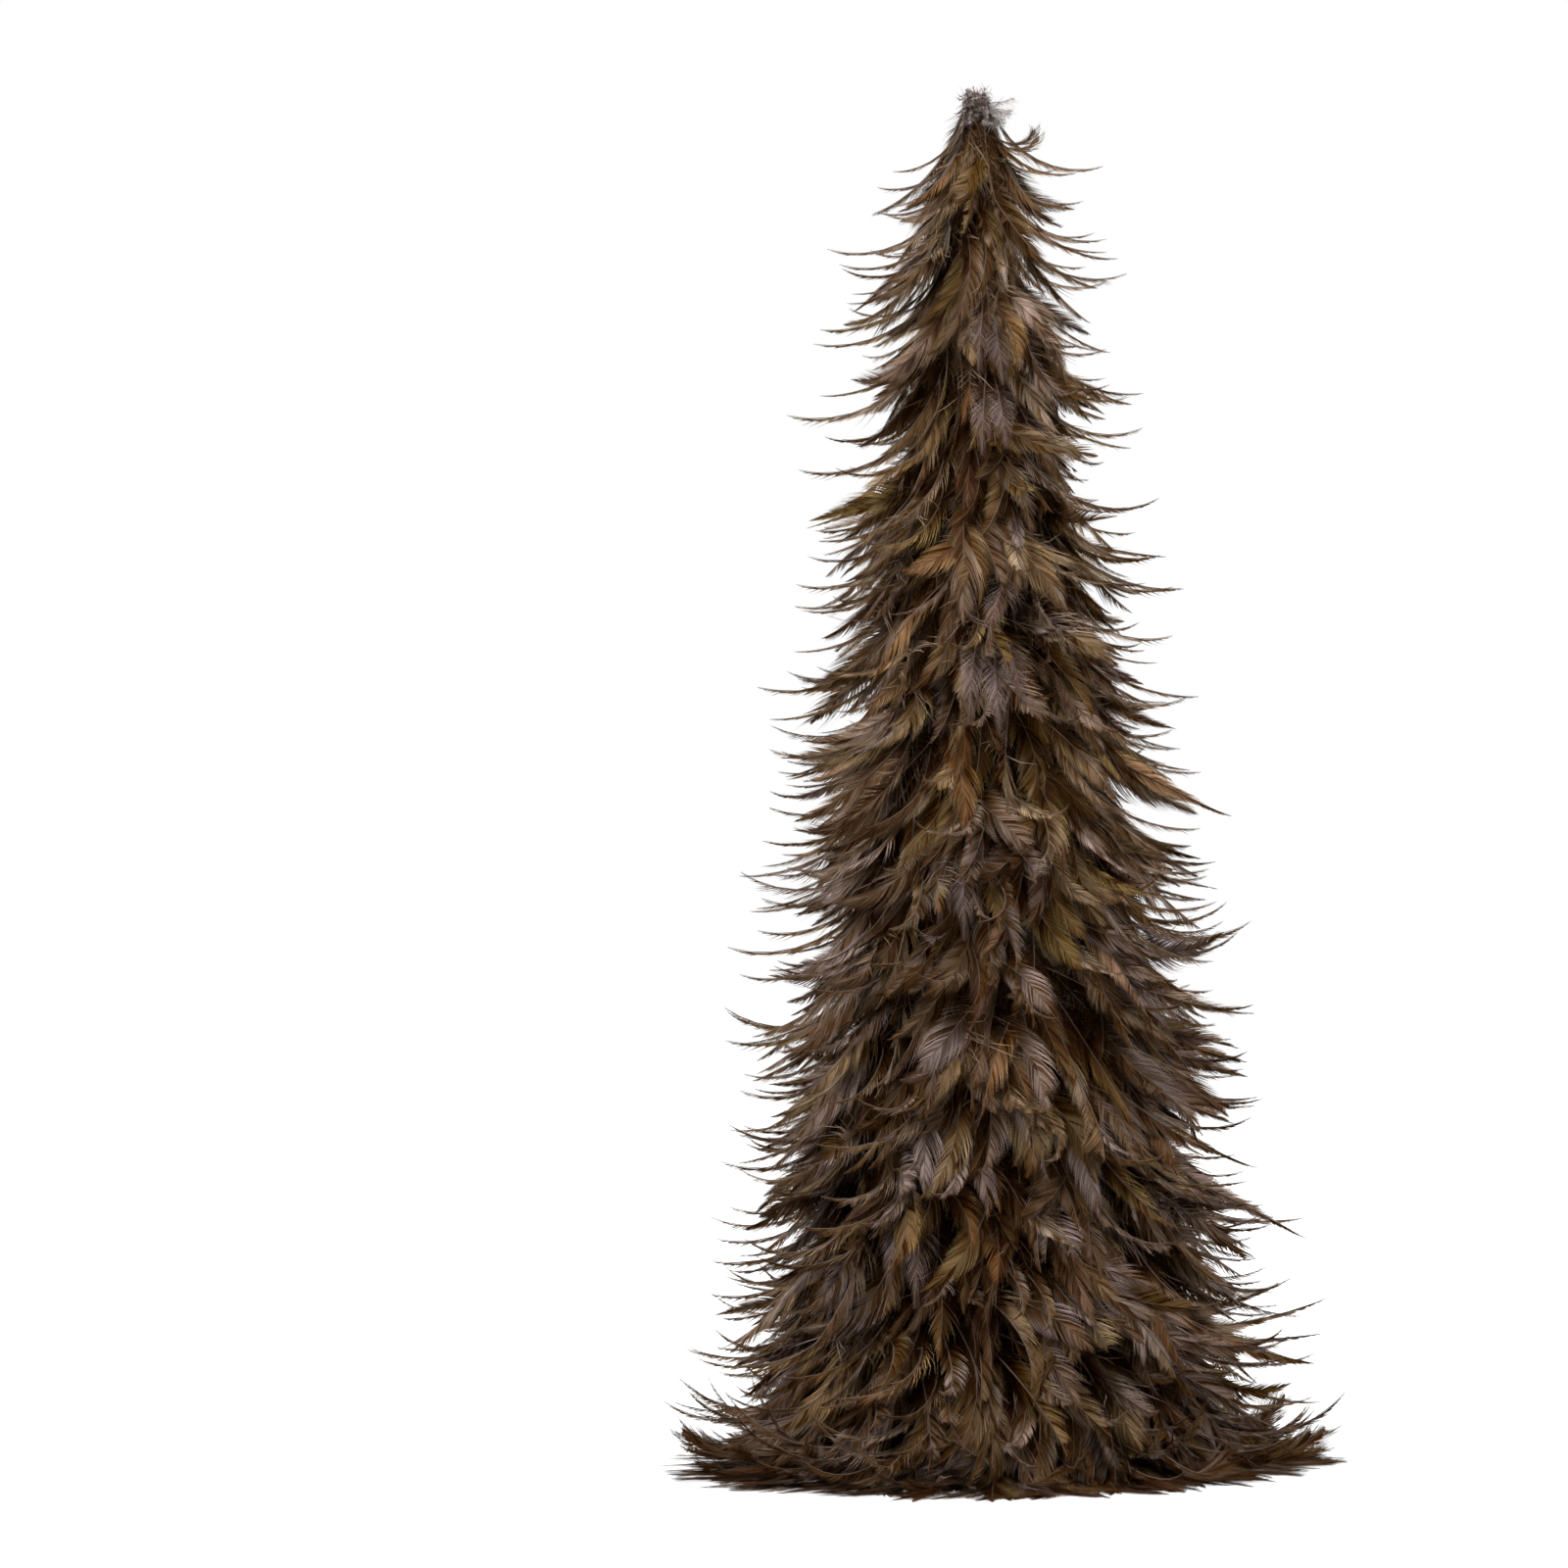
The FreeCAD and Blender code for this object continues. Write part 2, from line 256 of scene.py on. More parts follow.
def spine_frames(turn, turn_power, sway, twist):
    """Places and axes along a unit feather that starts along +X and bends up, aside and over."""
    place = Vector((0, 0, 0))
    frames = []
    for step in range(SPINE_STEPS + SPINE_STEPS_PAST_TIP):
        bent = min(step / SPINE_STEPS, BEND_END)
        aside = Matrix.Rotation(sway * bent ** 1.4, 3, "Z")
        upwards = Matrix.Rotation(-turn * bent ** turn_power, 3, "Y")
        over = Matrix.Rotation(twist * bent, 3, "X")
        turned = aside @ upwards @ over
        axes = [turned @ Vector(axis) for axis in ((1, 0, 0), (0, 1, 0), (0, 0, 1))]
        frames.append((place.copy(), *axes))
        place += axes[0] / SPINE_STEPS
    return frames


def frame_at(frames, share):
    """The place and axes at a share of the feather's length."""
    position = max(share, 0) * SPINE_STEPS
    low = min(int(position), len(frames) - 2)
    mix = min(position - low, 1.5)
    return [first.lerp(second, mix) for first, second in zip(frames[low], frames[low + 1])]


def vane_width(share, widest, fullness):
    """Half width of the vane along the feather, as a share of the widest."""
    if share < widest:
        return 0.5 + 0.5 * math.sin(share / widest * math.pi / 2)
    return max(1 - ((share - widest) / (1 - widest)) ** fullness, 0)


def make_feather(name, seed, half_width, widest, fullness, turn, turn_power, sway, twist, fold,
                 looseness, down, wisp, barbs):
    """A feather's mesh, one unit long, with the map and attributes that its colours follow."""
    dice = random.Random(seed)
    frames = spine_frames(turn, turn_power, sway, twist)
    verts, faces, vane, shade, downiness = [], [], [], [], []

    def add_vert(along, across, raised, barb_shade, downy):
        place, _, sideways, proud = frame_at(frames, along)
        creased = math.radians(fold[0] + (fold[1] - fold[0]) * min(max(along, 0), 1) ** 2)
        sunk = abs(across) * math.sin(creased)
        verts.append(place + sideways * across * math.cos(creased) + proud * (raised - sunk))
        aside = max(min(across / (MAP_HALF_WIDTHS * half_width), 0.5), -0.5)
        vane.append((min(max(along, 0) / MAP_LENGTH, 1), 0.5 + aside))
        shade.append(barb_shade)
        downiness.append(downy)
        return len(verts) - 1

    for station in range(SHAFT_STATIONS):
        share = station / (SHAFT_STATIONS - 1)
        radius = SHAFT_RADIUS * (1 - SHAFT_TAPER * share)
        for side in range(3):
            angle = math.radians(90 + 120 * side)
            raised = math.sin(angle) * radius + SHAFT_RAISED
            add_vert(share, math.cos(angle) * radius, raised, SHAFT_SHADE, 0.0)
        if station:
            first = 3 * (station - 1)
            for side in range(3):
                near = first + side
                far = first + (side + 1) % 3
                faces.append((near, near + 3, far + 3, far))

    spacing = BARBED_LENGTH / barbs
    for side in (-1, 1):
        lock_end = 0
        loose = looseness * dice.uniform(0.6, 1.5)
        thin = wisp if side > 0 else 0.0
        for number in range(barbs):
            if number >= lock_end:
                size = dice.randint(barbs // 16, barbs // 6)
                lock_end = number + size
                lock_centre = number + size / 2
                lock_shade = dice.random()
                lock_swing = dice.gauss(0, LOCK_SWING) * loose
                lock_lift = dice.gauss(0, LOCK_LIFT) * loose
                lock_reach = dice.uniform(1 - 0.06 * loose, 1 + 0.04 * loose)
                torn = dice.random() < TORN_LOCK_CHANCE * loose
                lock_pull = TORN_LOCK_PULL if torn else LOCK_PULL
            if number % 2 == 0:
                strand_shade = dice.random()
            share = FIRST_BARB + spacing * (number + dice.uniform(-0.2, 0.2))
            downy = min(max((down - share) / DOWN_FADE, 0), 1)
            width = half_width * vane_width(share, widest, fullness) * lock_reach * dice.uniform(0.94, 1.05)
            width *= 1 + 0.25 * downy + 0.5 * thin
            start = BARB_ROOT_ANGLE - BARB_ROOT_CLOSING * share + lock_swing + dice.gauss(0, 1.5) * loose
            start = math.radians(start + downy * dice.uniform(-6, 30))
            end = BARB_TIP_ANGLE - BARB_TIP_CLOSING * share + lock_swing + dice.gauss(0, 2.5) * loose
            end = math.radians(max(end + downy * dice.uniform(-6, 55), LEAST_BARB_TIP_ANGLE))
            length = min(width / math.sin((start + end) / 2), LONGEST_BARB)
            gather = (lock_centre - number) * spacing * lock_pull * (1 - 0.6 * downy)
            own_lift = dice.gauss(0, 0.03) * (loose + 3 * thin)
            lift = (lock_lift + own_lift + downy * dice.gauss(0, 0.28)) * length
            barb_shade = 0.33 * lock_shade + 0.36 * strand_shade + 0.31 * dice.random()
            widest_half = spacing * BARB_OVERLAP * (1 - 0.55 * downy) * (1 - 0.5 * thin)
            along, across, reached, rows = share, 0.0, 0.0, []
            for reach, slim in BARB_STEPS:
                angle = start + (end - start) * (reach + reached) / 2
                stride = length * (reach - reached)
                along += stride * math.cos(angle)
                across += stride * math.sin(angle) * side
                reached = reach
                raised = lift * reach ** 1.5
                at = along + gather * reach ** 1.6
                half = widest_half * slim
                ends = (at - half, at + half) if slim else (at,)
                rows.append([add_vert(end_at, across, raised, barb_shade, downy) for end_at in ends])
            for near, far in zip(rows, rows[1:]):
                face = near + far[::-1]
                faces.append(tuple(face if side > 0 else face[::-1]))

    return finish_plume(name, verts, faces, vane, shade, downiness)


def mesh_object(name, verts, faces, maps, attributes):
    """A smooth object of these faces, with its maps (corner by corner) and attributes (by vertex)."""
    mesh = bpy.data.meshes.new(name)
    mesh.from_pydata(verts, [], faces)
    for layer, spots in maps.items():
        corners = mesh.uv_layers.new(name=layer).data
        for corner, spot in zip(corners, spots):
            corner.uv = spot
    for attribute, values in attributes.items():
        mesh.attributes.new(attribute, "FLOAT", "POINT").data.foreach_set("value", values)
    mesh.polygons.foreach_set("use_smooth", [True] * len(mesh.polygons))
    return bpy.data.objects.new(name, mesh)


def finish_plume(name, verts, faces, vane, shade, downiness):
    """The object of a single feather, with the map and the attributes that its colours follow."""
    corners = [vane[vertex] for face in faces for vertex in face]
    return mesh_object(name, verts, faces, {"vane": corners}, {"barb_shade": shade, "downiness": downiness})


# Fluffy kinds lie closest to the cone, broad kinds over them, and long sabres outermost. Each group has
# its number of kinds, the ranges of half width, down and turn, its most sway, and what its kinds share.
KIND_GROUPS = (
    (4, (0.10, 0.14), (0.4, 0.8), (15, 32), 24, {
        "widest": 0.4, "fullness": 1.1, "turn_power": 1.2, "fold": (5, 30), "looseness": 1.5, "wisp": 0.3,
        "barbs": 50,
    }),
    (11, (0.10, 0.14), (0.12, 0.3), (22, 54), 78, {
        "widest": 0.34, "fullness": 1.0, "turn_power": 1.5, "fold": (2, 50), "looseness": 0.8, "wisp": 0.2,
        "barbs": 84,
    }),
    (5, (0.06, 0.085), (0.10, 0.25), (58, 96), 48, {
        "widest": 0.25, "fullness": 0.95, "turn_power": 1.15, "fold": (6, 64), "looseness": 0.7,
        "barbs": 64,
    }),
)
SABRE_WISPS = (0.3, 0.7, 1.0)
MOST_TWIST = math.radians(50)
feather_kinds = bpy.data.collections.new("feather_kinds")
kind_dice = random.Random(11)
each_kind = [group for group in KIND_GROUPS for _ in range(group[0])]
LAST_KIND = len(each_kind) - 1
for kind, (_, half_widths, downs, turns, most_sway, shape) in enumerate(each_kind):
    swing = kind_dice.uniform(-1, 1)
    twist = MOST_TWIST * kind_dice.uniform(-1, 1)
    drawn = {
        "half_width": kind_dice.uniform(*half_widths),
        "down": kind_dice.uniform(*downs),
        "turn": math.radians(kind_dice.uniform(*turns)),
        "sway": math.radians(most_sway * swing),
    }
    if "wisp" not in shape:
        drawn["wisp"] = kind_dice.choice(SABRE_WISPS)
    feather = make_feather(f"feather_kind_{kind:02d}", seed=100 + kind, twist=twist, **drawn, **shape)
    feather_kinds.objects.link(feather)

HUES = (
    (0.00, (0.062, 0.029, 0.008)),
    (0.22, (0.116, 0.061, 0.019)),
    (0.46, (0.160, 0.098, 0.026)),
    (0.62, (0.150, 0.083, 0.040)),
    (0.76, (0.182, 0.124, 0.056)),
    (0.88, (0.140, 0.084, 0.060)),
    (0.915, (0.185, 0.086, 0.024)),
    (0.94, (0.142, 0.094, 0.026)),
    (0.965, (0.154, 0.115, 0.116)),
    (1.00, (0.016, 0.018, 0.012)),
)
DOWNY_COLOUR = (0.118, 0.083, 0.076, 1)
GOLDEN_COLOUR = (0.192, 0.134, 0.034, 1)
# The grey of the painted sheen on the lightest parts of the coat.
SHEEN_GREY = (0.168, 0.120, 0.104, 1)
SHAFT_COLOUR = (0.16, 0.118, 0.09, 1)
SHEEN_TINT = (1.0, 0.62, 0.36, 1)
SHEEN_LEVEL = 0.09
LIGHT_LET_THROUGH = 0.22
BRIGHTEST = 2.7


def hackle_material():
    """Brown hackle: each feather has its own tone and hue, each barb its own shade, and tips are dark."""
    material, tree, shader = new_material("hackle")
    maths, vectors, combine, separate, span, read = node_makers(tree)

    def mix(share, first, second):
        mixed = add_node(tree, "ShaderNodeMix", {"data_type": "RGBA"}, _0=share, _6=first, _7=second)
        return mixed.outputs[2]

    tone = read("feather_tone")
    hue = read("feather_hue")
    barb = read("barb_shade")
    downy = read("downiness")
    vane = separate(add_node(tree, "ShaderNodeUVMap", {"uv_map": "vane"}).outputs["UV"])
    along = vane["X"]
    aside = maths("ABSOLUTE", maths("SUBTRACT", vane["Y"], 0.5))
    place = separate(add_node(tree, "ShaderNodeTexCoord").outputs["Object"])
    height = place["Z"]

    palette = add_node(tree, "ShaderNodeValToRGB", Fac=hue)
    ramp = palette.color_ramp
    while len(ramp.elements) < len(HUES):
        ramp.elements.new(1.0)
    for element, (position, colour) in zip(ramp.elements, HUES):
        element.position = position
        element.color = (*colour, 1)

    # How light it is at a point: what the feather and the barb add, and painted shade and light by place.
    spoke = combine(X=place["X"], Y=place["Y"])
    clearance = maths("SUBTRACT", vectors("LENGTH", _0=spoke)[1], span(height, 0.0, 0.58, 0.084, 0.006))
    own_tone = span(tone, 0, 1, 0.42, 1.7)
    own_barb = span(barb, 0.15, 0.85, 0.16, 2.3)
    # Painted shade: feathers are darker near the cone, deep in the coat, and darker still low on the tree.
    deepest_painted_shade = span(height, 0.04, 0.30, 0.07, 0.22)
    painted_depth_shade = span(clearance, 0.005, 0.022, deepest_painted_shade, 1.15)
    # Painted light: the coat is lighter towards the top, as if lit from above.
    climb = span(height, 0.05, 0.50, 0.92, 1.22)
    # Painted shadow: feathers in the lowest two centimetres darken towards the floor.
    painted_floor_shadow = span(height, 0.0, 0.02, 0.55, 1.0)
    tip = span(along, 0.52, 0.92, 1.0, 0.36)
    # Painted shade: the part of each feather near its quill, which lies under other feathers, is darker.
    quill = span(along, 0.08, 0.42, 0.25, 1.0)
    edge = span(aside, 0.10, 0.31, 0.72, 1.9)
    light = own_tone
    for factor in (own_barb, painted_depth_shade, climb, painted_floor_shadow, tip, quill, edge):
        light = maths("MULTIPLY", light, factor)
    light = maths("MINIMUM", light, BRIGHTEST)

    # Down is greyer, vane edges more golden; a grey painted sheen lies on light parts, more on some
    # feathers.
    coat = mix(maths("MULTIPLY", downy, 0.8), palette.outputs["Color"], DOWNY_COLOUR)
    coat = mix(span(aside, 0.12, 0.31, 0.0, 0.45), coat, GOLDEN_COLOUR)
    painted_sheen = maths("MULTIPLY", span(light, 0.3, 1.6, 0.10, 0.46), span(height, 0.10, 0.42, 1.5, 0.8))
    own_sheen_share = span(maths("FRACT", maths("MULTIPLY", hue, 9.0)), 0.0, 1.0, 0.1, 1.9)
    coat = mix(maths("MULTIPLY", painted_sheen, own_sheen_share), coat, SHEEN_GREY)

    # Dark parts are redder, as light that has passed through other feathers is.
    dimness = maths("MINIMUM", light, 1.1)
    warmth = combine(X=maths("POWER", dimness, -0.16), Y=maths("POWER", dimness, 0.22),
                     Z=maths("POWER", dimness, 0.78))
    coat = vectors("MULTIPLY", _0=coat, _1=warmth)[0]
    coat = vectors("SCALE", _0=coat, Scale=light)[0]
    on_shaft = maths("LESS_THAN", barb, SHAFT_SHADE / 2)
    colour = mix(on_shaft, coat, SHAFT_COLOUR)

    tree.links.new(colour, shader.inputs["Base Color"])
    tree.links.new(span(barb, 0, 1, 0.32, 0.5), shader.inputs["Roughness"])
    shader.inputs["Specular IOR Level"].default_value = SHEEN_LEVEL
    shader.inputs["Specular Tint"].default_value = SHEEN_TINT
    let_light_through(tree, shader, colour, LIGHT_LET_THROUGH)
    return material


# Rows of hackles: each row's quills are glued to its tape all the way round, and the curl of the
# feathers carries their tips out and up. The lowest row is the skirt, spread on the floor.
FLOOR_PRESS = 0.006
FLOOR_SLIDE = 0.3
CLUMP_SCALE = 38.0
CELL_INSET = (0.04, 0.05, 0)
CELL_FILL = (0.8, 0.9, 0)
ROW_INPUTS = {
    "Int": ("Count", "Lowest Kind", "Highest Kind", "Seed"),
    "Float": ("Root Radius", "Root Height", "Height Spread", "Taper", "Length", "Longest", "Steepest",
              "Shallowest", "Lift Power", "Lean", "Lean Bias", "Grid"),
    "Collection": ("Feathers",),
    "Material": ("Finish",),
}
ANGLE_INPUTS = ("Steepest", "Shallowest", "Lean", "Lean Bias")
PLAIN_ROW = {"Taper": 0.0, "Longest": 0.0, "Lift Power": 1.0, "Lowest Kind": 0}


def feather_row_tree():
    """Geometry tree that plants feathers in a band round the cone; the floor bends those that reach it."""
    tree = bpy.data.node_groups.new("feather_row", "GeometryNodeTree")
    sockets = {}
    for kind, names in ROW_INPUTS.items():
        for name in names:
            made = tree.interface.new_socket(name, in_out="INPUT", socket_type=f"NodeSocket{kind}")
            sockets[name] = made.identifier
    tree.interface.new_socket("Geometry", in_out="OUTPUT", socket_type="NodeSocketGeometry")
    given = tree.nodes.new("NodeGroupInput").outputs
    result = tree.nodes.new("NodeGroupOutput")
    maths, vectors, combine, separate, span, _ = node_makers(tree)

    def chance(offset, low, high):
        seed = maths("ADD", given["Seed"], offset)
        dice = add_node(tree, "FunctionNodeRandomValue", {"data_type": "FLOAT"}, _2=low, _3=high, _8=seed)
        return dice.outputs[1]

    def turned(angles):
        return add_node(tree, "FunctionNodeEulerToRotation", Euler=angles).outputs[0]

    def store(geometry, name, value, kind, domain):
        return add_node(tree, "GeometryNodeStoreNamedAttribute", {"data_type": kind, "domain": domain},
                        Geometry=geometry, Name=name, Value=value).outputs[0]

    # Where each quill leaves the cone.
    index = add_node(tree, "GeometryNodeInputIndex").outputs[0]
    turn = maths("DIVIDE", maths("ADD", index, chance(1, -0.6, 0.6)), given["Count"])
    azimuth = maths("ADD", maths("MULTIPLY", turn, math.tau), chance(2, 0.0, 0.02))
    raise_by = maths("MULTIPLY", chance(3, -1.0, 1.0), given["Height Spread"])
    height = maths("ADD", given["Root Height"], raise_by)
    radius = maths("SUBTRACT", given["Root Radius"], maths("MULTIPLY", raise_by, given["Taper"]))
    root = combine(X=maths("MULTIPLY", radius, maths("COSINE", azimuth)),
                   Y=maths("MULTIPLY", radius, maths("SINE", azimuth)), Z=height)
    points = add_node(tree, "GeometryNodePoints", Count=given["Count"], Position=root).outputs[0]

    # Neighbours droop and lean alike and have like tones, in clumps that a coarse noise makes.
    clump = add_node(tree, "ShaderNodeTexNoise", Vector=root, Scale=CLUMP_SCALE, Detail=1.0)
    clump = separate(clump.outputs["Color"])

    def clumped(channel, low, high):
        return span(clump[channel], 0.3, 0.7, low, high)

    lift = chance(4, 0.0, 1.0)
    droop = span(maths("POWER", lift, given["Lift Power"]), 0, 1, given["Steepest"], given["Shallowest"])
    droop = maths("ADD", maths("ADD", droop, chance(5, -0.09, 0.09)), clumped("X", -0.15, 0.15))
    lean = maths("MULTIPLY", maths("ADD", chance(6, -0.75, 1.25), clumped("Y", -1.0, 1.0)), given["Lean"])
    lean = maths("ADD", lean, given["Lean Bias"])
    facing = turned(combine(X=chance(7, -0.5, 0.5), Y=droop))
    around = turned(combine(X=lean, Z=azimuth))
    rotation = add_node(tree, "FunctionNodeRotateRotation", {"rotation_space": "GLOBAL"}, Rotation=facing,
                        Rotate_By=around).outputs[0]
    kind = span(lift, 0, 1, given["Lowest Kind"], given["Highest Kind"])
    kind = maths("ROUND", maths("ADD", kind, chance(8, -1.6, 1.6)))
    kind = maths("MINIMUM", maths("MAXIMUM", kind, given["Lowest Kind"]), given["Highest Kind"])
    extra = maths("MULTIPLY", maths("POWER", chance(12, 0.0, 1.0), 10.0), given["Longest"])
    length = maths("MULTIPLY", given["Length"], maths("ADD", chance(9, 0.78, 1.06), extra))
    kinds = add_node(tree, "GeometryNodeCollectionInfo", Collection=given["Feathers"],
                     Separate_Children=True, Reset_Children=True).outputs[0]
    planted = add_node(tree, "GeometryNodeInstanceOnPoints", Points=points, Instance=kinds,
                       Pick_Instance=True, Instance_Index=kind, Rotation=rotation, Scale=length).outputs[0]
    tone = maths("ADD", chance(10, 0.0, 0.52), clumped("Z", 0.0, 0.48))
    hue = chance(11, 0.0, 1.0)
    for name, value in (("feather_tone", tone), ("feather_hue", hue), ("feather_number", index)):
        planted = store(planted, name, value, "FLOAT", "INSTANCE")
    feathers = add_node(tree, "GeometryNodeRealizeInstances", Geometry=planted).outputs[0]

    # Each feather has a cell of its own in the map that the colours are baked on.
    number = add_node(tree, "GeometryNodeInputNamedAttribute", {"data_type": "FLOAT"}, Name="feather_number")
    vane = add_node(tree, "GeometryNodeInputNamedAttribute", {"data_type": "FLOAT_VECTOR"}, Name="vane")
    column = maths("FLOORED_MODULO", number.outputs[0], given["Grid"])
    line = maths("FLOOR", maths("DIVIDE", number.outputs[0], given["Grid"]))
    inset = vectors("MULTIPLY_ADD", _0=vane.outputs[0], _1=CELL_FILL, _2=CELL_INSET)[0]
    spot = vectors("ADD", _0=combine(X=column, Y=line), _1=inset)[0]
    spot = vectors("SCALE", _0=spot, Scale=maths("DIVIDE", 1.0, given["Grid"]))[0]
    feathers = store(feathers, "OFBake", spot, "FLOAT2", "CORNER")

    # What would go through the floor is pressed flat on it and slides outwards.
    here = separate(add_node(tree, "GeometryNodeInputPosition").outputs[0])
    below = maths("DIVIDE", maths("SUBTRACT", here["Z"], FLOOR_PRESS), FLOOR_PRESS)
    settled = maths("MULTIPLY", maths("EXPONENT", below), FLOOR_PRESS)
    low = maths("LESS_THAN", here["Z"], FLOOR_PRESS)
    pushed = maths("MULTIPLY", maths("SUBTRACT", settled, here["Z"]), FLOOR_SLIDE)
    reach = vectors("LENGTH", _0=combine(X=here["X"], Y=here["Y"]))[1]
    spread = maths("ADD", maths("DIVIDE", pushed, reach), 1.0)
    resting = combine(X=maths("MULTIPLY", here["X"], spread), Y=maths("MULTIPLY", here["Y"], spread),
                      Z=settled)
    feathers = add_node(tree, "GeometryNodeSetPosition", Geometry=feathers, Selection=low,
                        Position=resting).outputs[0]
    feathers = add_node(tree, "GeometryNodeSetMaterial", Geometry=feathers, Material=given["Finish"])
    tree.links.new(feathers.outputs[0], result.inputs["Geometry"])
    return tree, sockets


def bake_grid(count):
    """Cells along each side of the map that gives every feather one of its own."""
    return float(math.ceil(math.sqrt(count)))


def plant_feathers(name, values):
    """A plain mesh of what the feather row tree makes with these values; angles are in degrees."""
    holder = bpy.data.objects.new(name + "_holder", bpy.data.meshes.new(name))
    bpy.context.collection.objects.link(holder)
    planting = holder.modifiers.new("planting", "NODES")
    planting.node_group = row_tree
    values = {**PLAIN_ROW, "Finish": hackle, "Grid": bake_grid(values["Count"]), **values}
    for socket, value in values.items():
        planting[row_sockets[socket]] = math.radians(value) if socket in ANGLE_INPUTS else value
    depsgraph = bpy.context.evaluated_depsgraph_get()
    mesh = bpy.data.meshes.new_from_object(holder.evaluated_get(depsgraph))
    mesh.name = name
    bpy.data.objects.remove(holder)
    piece = bpy.data.objects.new(name, mesh)
    bpy.context.collection.objects.link(piece)
    return piece


def for_row(row, values):
    """The value for a row, counted from the foot; the last one holds for all rows above."""
    return values[min(row, len(values) - 1)]


def swell(climb, middle, reach):
    """How much a swelling of the coat is felt at this share of the height."""
    return math.exp(-((climb - middle) / reach) ** 2)


hackle = hackle_material()
row_tree, row_sockets = feather_row_tree()
row_nodes = sorted(node for node in frame["nodes"] if node.startswith("row_feathers"))
tape_boxes = [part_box(node.replace("feathers", "tape")) for node in row_nodes]
foot_radius = tape_boxes[0][1][0]
cone_taper = (foot_radius - tape_boxes[-1][1][0]) / (tape_boxes[-1][1][2] - tape_boxes[0][1][2])
FEATHER_SPACING = 0.0057
FEATHER_FAN = 0.025
FOOT_LENGTH = 0.082
LENGTH_LOST_BY_TOP = 0.013
PINCH_SHORTENING = 0.08
LEAST_RIGHT_LEAN = 4
FOOT_RIGHT_LEAN = 22
FOOT_LEAN_END = 0.4
# The shares of the height at which the coat swells and is drawn in, and how far up and down each reaches.
BULGE = (0.42, 0.17)
TOP_PINCH = (0.86, 0.07)
SHOULDER_PINCH = (0.70, 0.10)
SHOULDER_PINCH_SHARE = 0.4
LOW_ROWS_DENSER = (1.4, 1.4, 1.0)
LOW_ROWS_HEIGHT_SPREAD = (0.002, 0.009)
LOW_ROWS_LONGEST = (0.14, 0.1, 0.16, 0.2)
LOW_ROWS_STEEPEST = (40, 60, 72, 80, 90)
LOW_ROWS_SHALLOWEST = (24, 38, 44, 48, 52, 90)
LOW_ROWS_LEAN = (12, 12, 34)
LOW_ROWS_FIRST_KIND = (6, 6, 4, 0)
for row, node in enumerate(row_nodes):
    climb = row / (len(row_nodes) - 1)
    root_radius = tape_boxes[row][1][0]
    count = round(math.tau * (root_radius + FEATHER_FAN) / FEATHER_SPACING * for_row(row, LOW_ROWS_DENSER))
    bulge = swell(climb, *BULGE)
    pinch = swell(climb, *TOP_PINCH) + SHOULDER_PINCH_SHARE * swell(climb, *SHOULDER_PINCH)
    steepest = 84 - 5 * bulge
    shallowest = 56 + 4 * climb - 10 * bulge + 2 * pinch
    right_lean = LEAST_RIGHT_LEAN + FOOT_RIGHT_LEAN * max(1 - climb / FOOT_LEAN_END, 0)
    piece = plant_feathers(f"feather_row_{row + 1:02d}", {
        "Count": count,
        "Root Radius": root_radius,
        "Root Height": tape_boxes[row][1][2],
        "Height Spread": for_row(row, LOW_ROWS_HEIGHT_SPREAD),
        "Taper": cone_taper,
        "Length": (FOOT_LENGTH - LENGTH_LOST_BY_TOP * climb) * (1 - PINCH_SHORTENING * pinch),
        "Longest": for_row(row, LOW_ROWS_LONGEST),
        "Steepest": min(steepest, for_row(row, LOW_ROWS_STEEPEST)),
        "Shallowest": min(shallowest, for_row(row, LOW_ROWS_SHALLOWEST)),
        "Lift Power": 1.8 + 1.2 * pinch,
        "Lean": for_row(row, LOW_ROWS_LEAN),
        "Lean Bias": for_row(row, (0, 0, right_lean)),
        "Lowest Kind": for_row(row, LOW_ROWS_FIRST_KIND),
        "Highest Kind": LAST_KIND,
        "Seed": 1000 + 20 * row,
        "Feathers": feather_kinds,
    })
    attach(piece, "root")
    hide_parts(node)

# More skirt feathers, with broad blunt vanes, lie flat on the floor under the lowest row. They are glued
# to the same tape and fill in the skirt out to its rim.
SKIRT_HALF = 0.150
SKIRT_SWAYS = (-55, 35, -20, 60)
skirt_kinds = bpy.data.collections.new("skirt_kinds")
for kind, sway in enumerate(SKIRT_SWAYS):
    skirt_kinds.objects.link(make_feather(
        f"skirt_kind_{kind}", seed=650 + kind, half_width=0.11, widest=0.6, fullness=1.5,
        turn=math.radians(22 + 7 * kind), turn_power=1.5, sway=math.radians(sway), twist=0.0, fold=(0, 30),
        looseness=1.0, down=0.15, wisp=0.1, barbs=80))
piece = plant_feathers("skirt_underlay", {
    "Count": 200,
    "Root Radius": foot_radius,
    "Root Height": 0.007,
    "Height Spread": 0.002,
    "Length": SKIRT_HALF - foot_radius,
    "Steepest": 34,
    "Shallowest": 16,
    "Lean": 25,
    "Highest Kind": len(SKIRT_SWAYS) - 1,
    "Seed": 900,
    "Feathers": skirt_kinds,
})
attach(piece, "root")


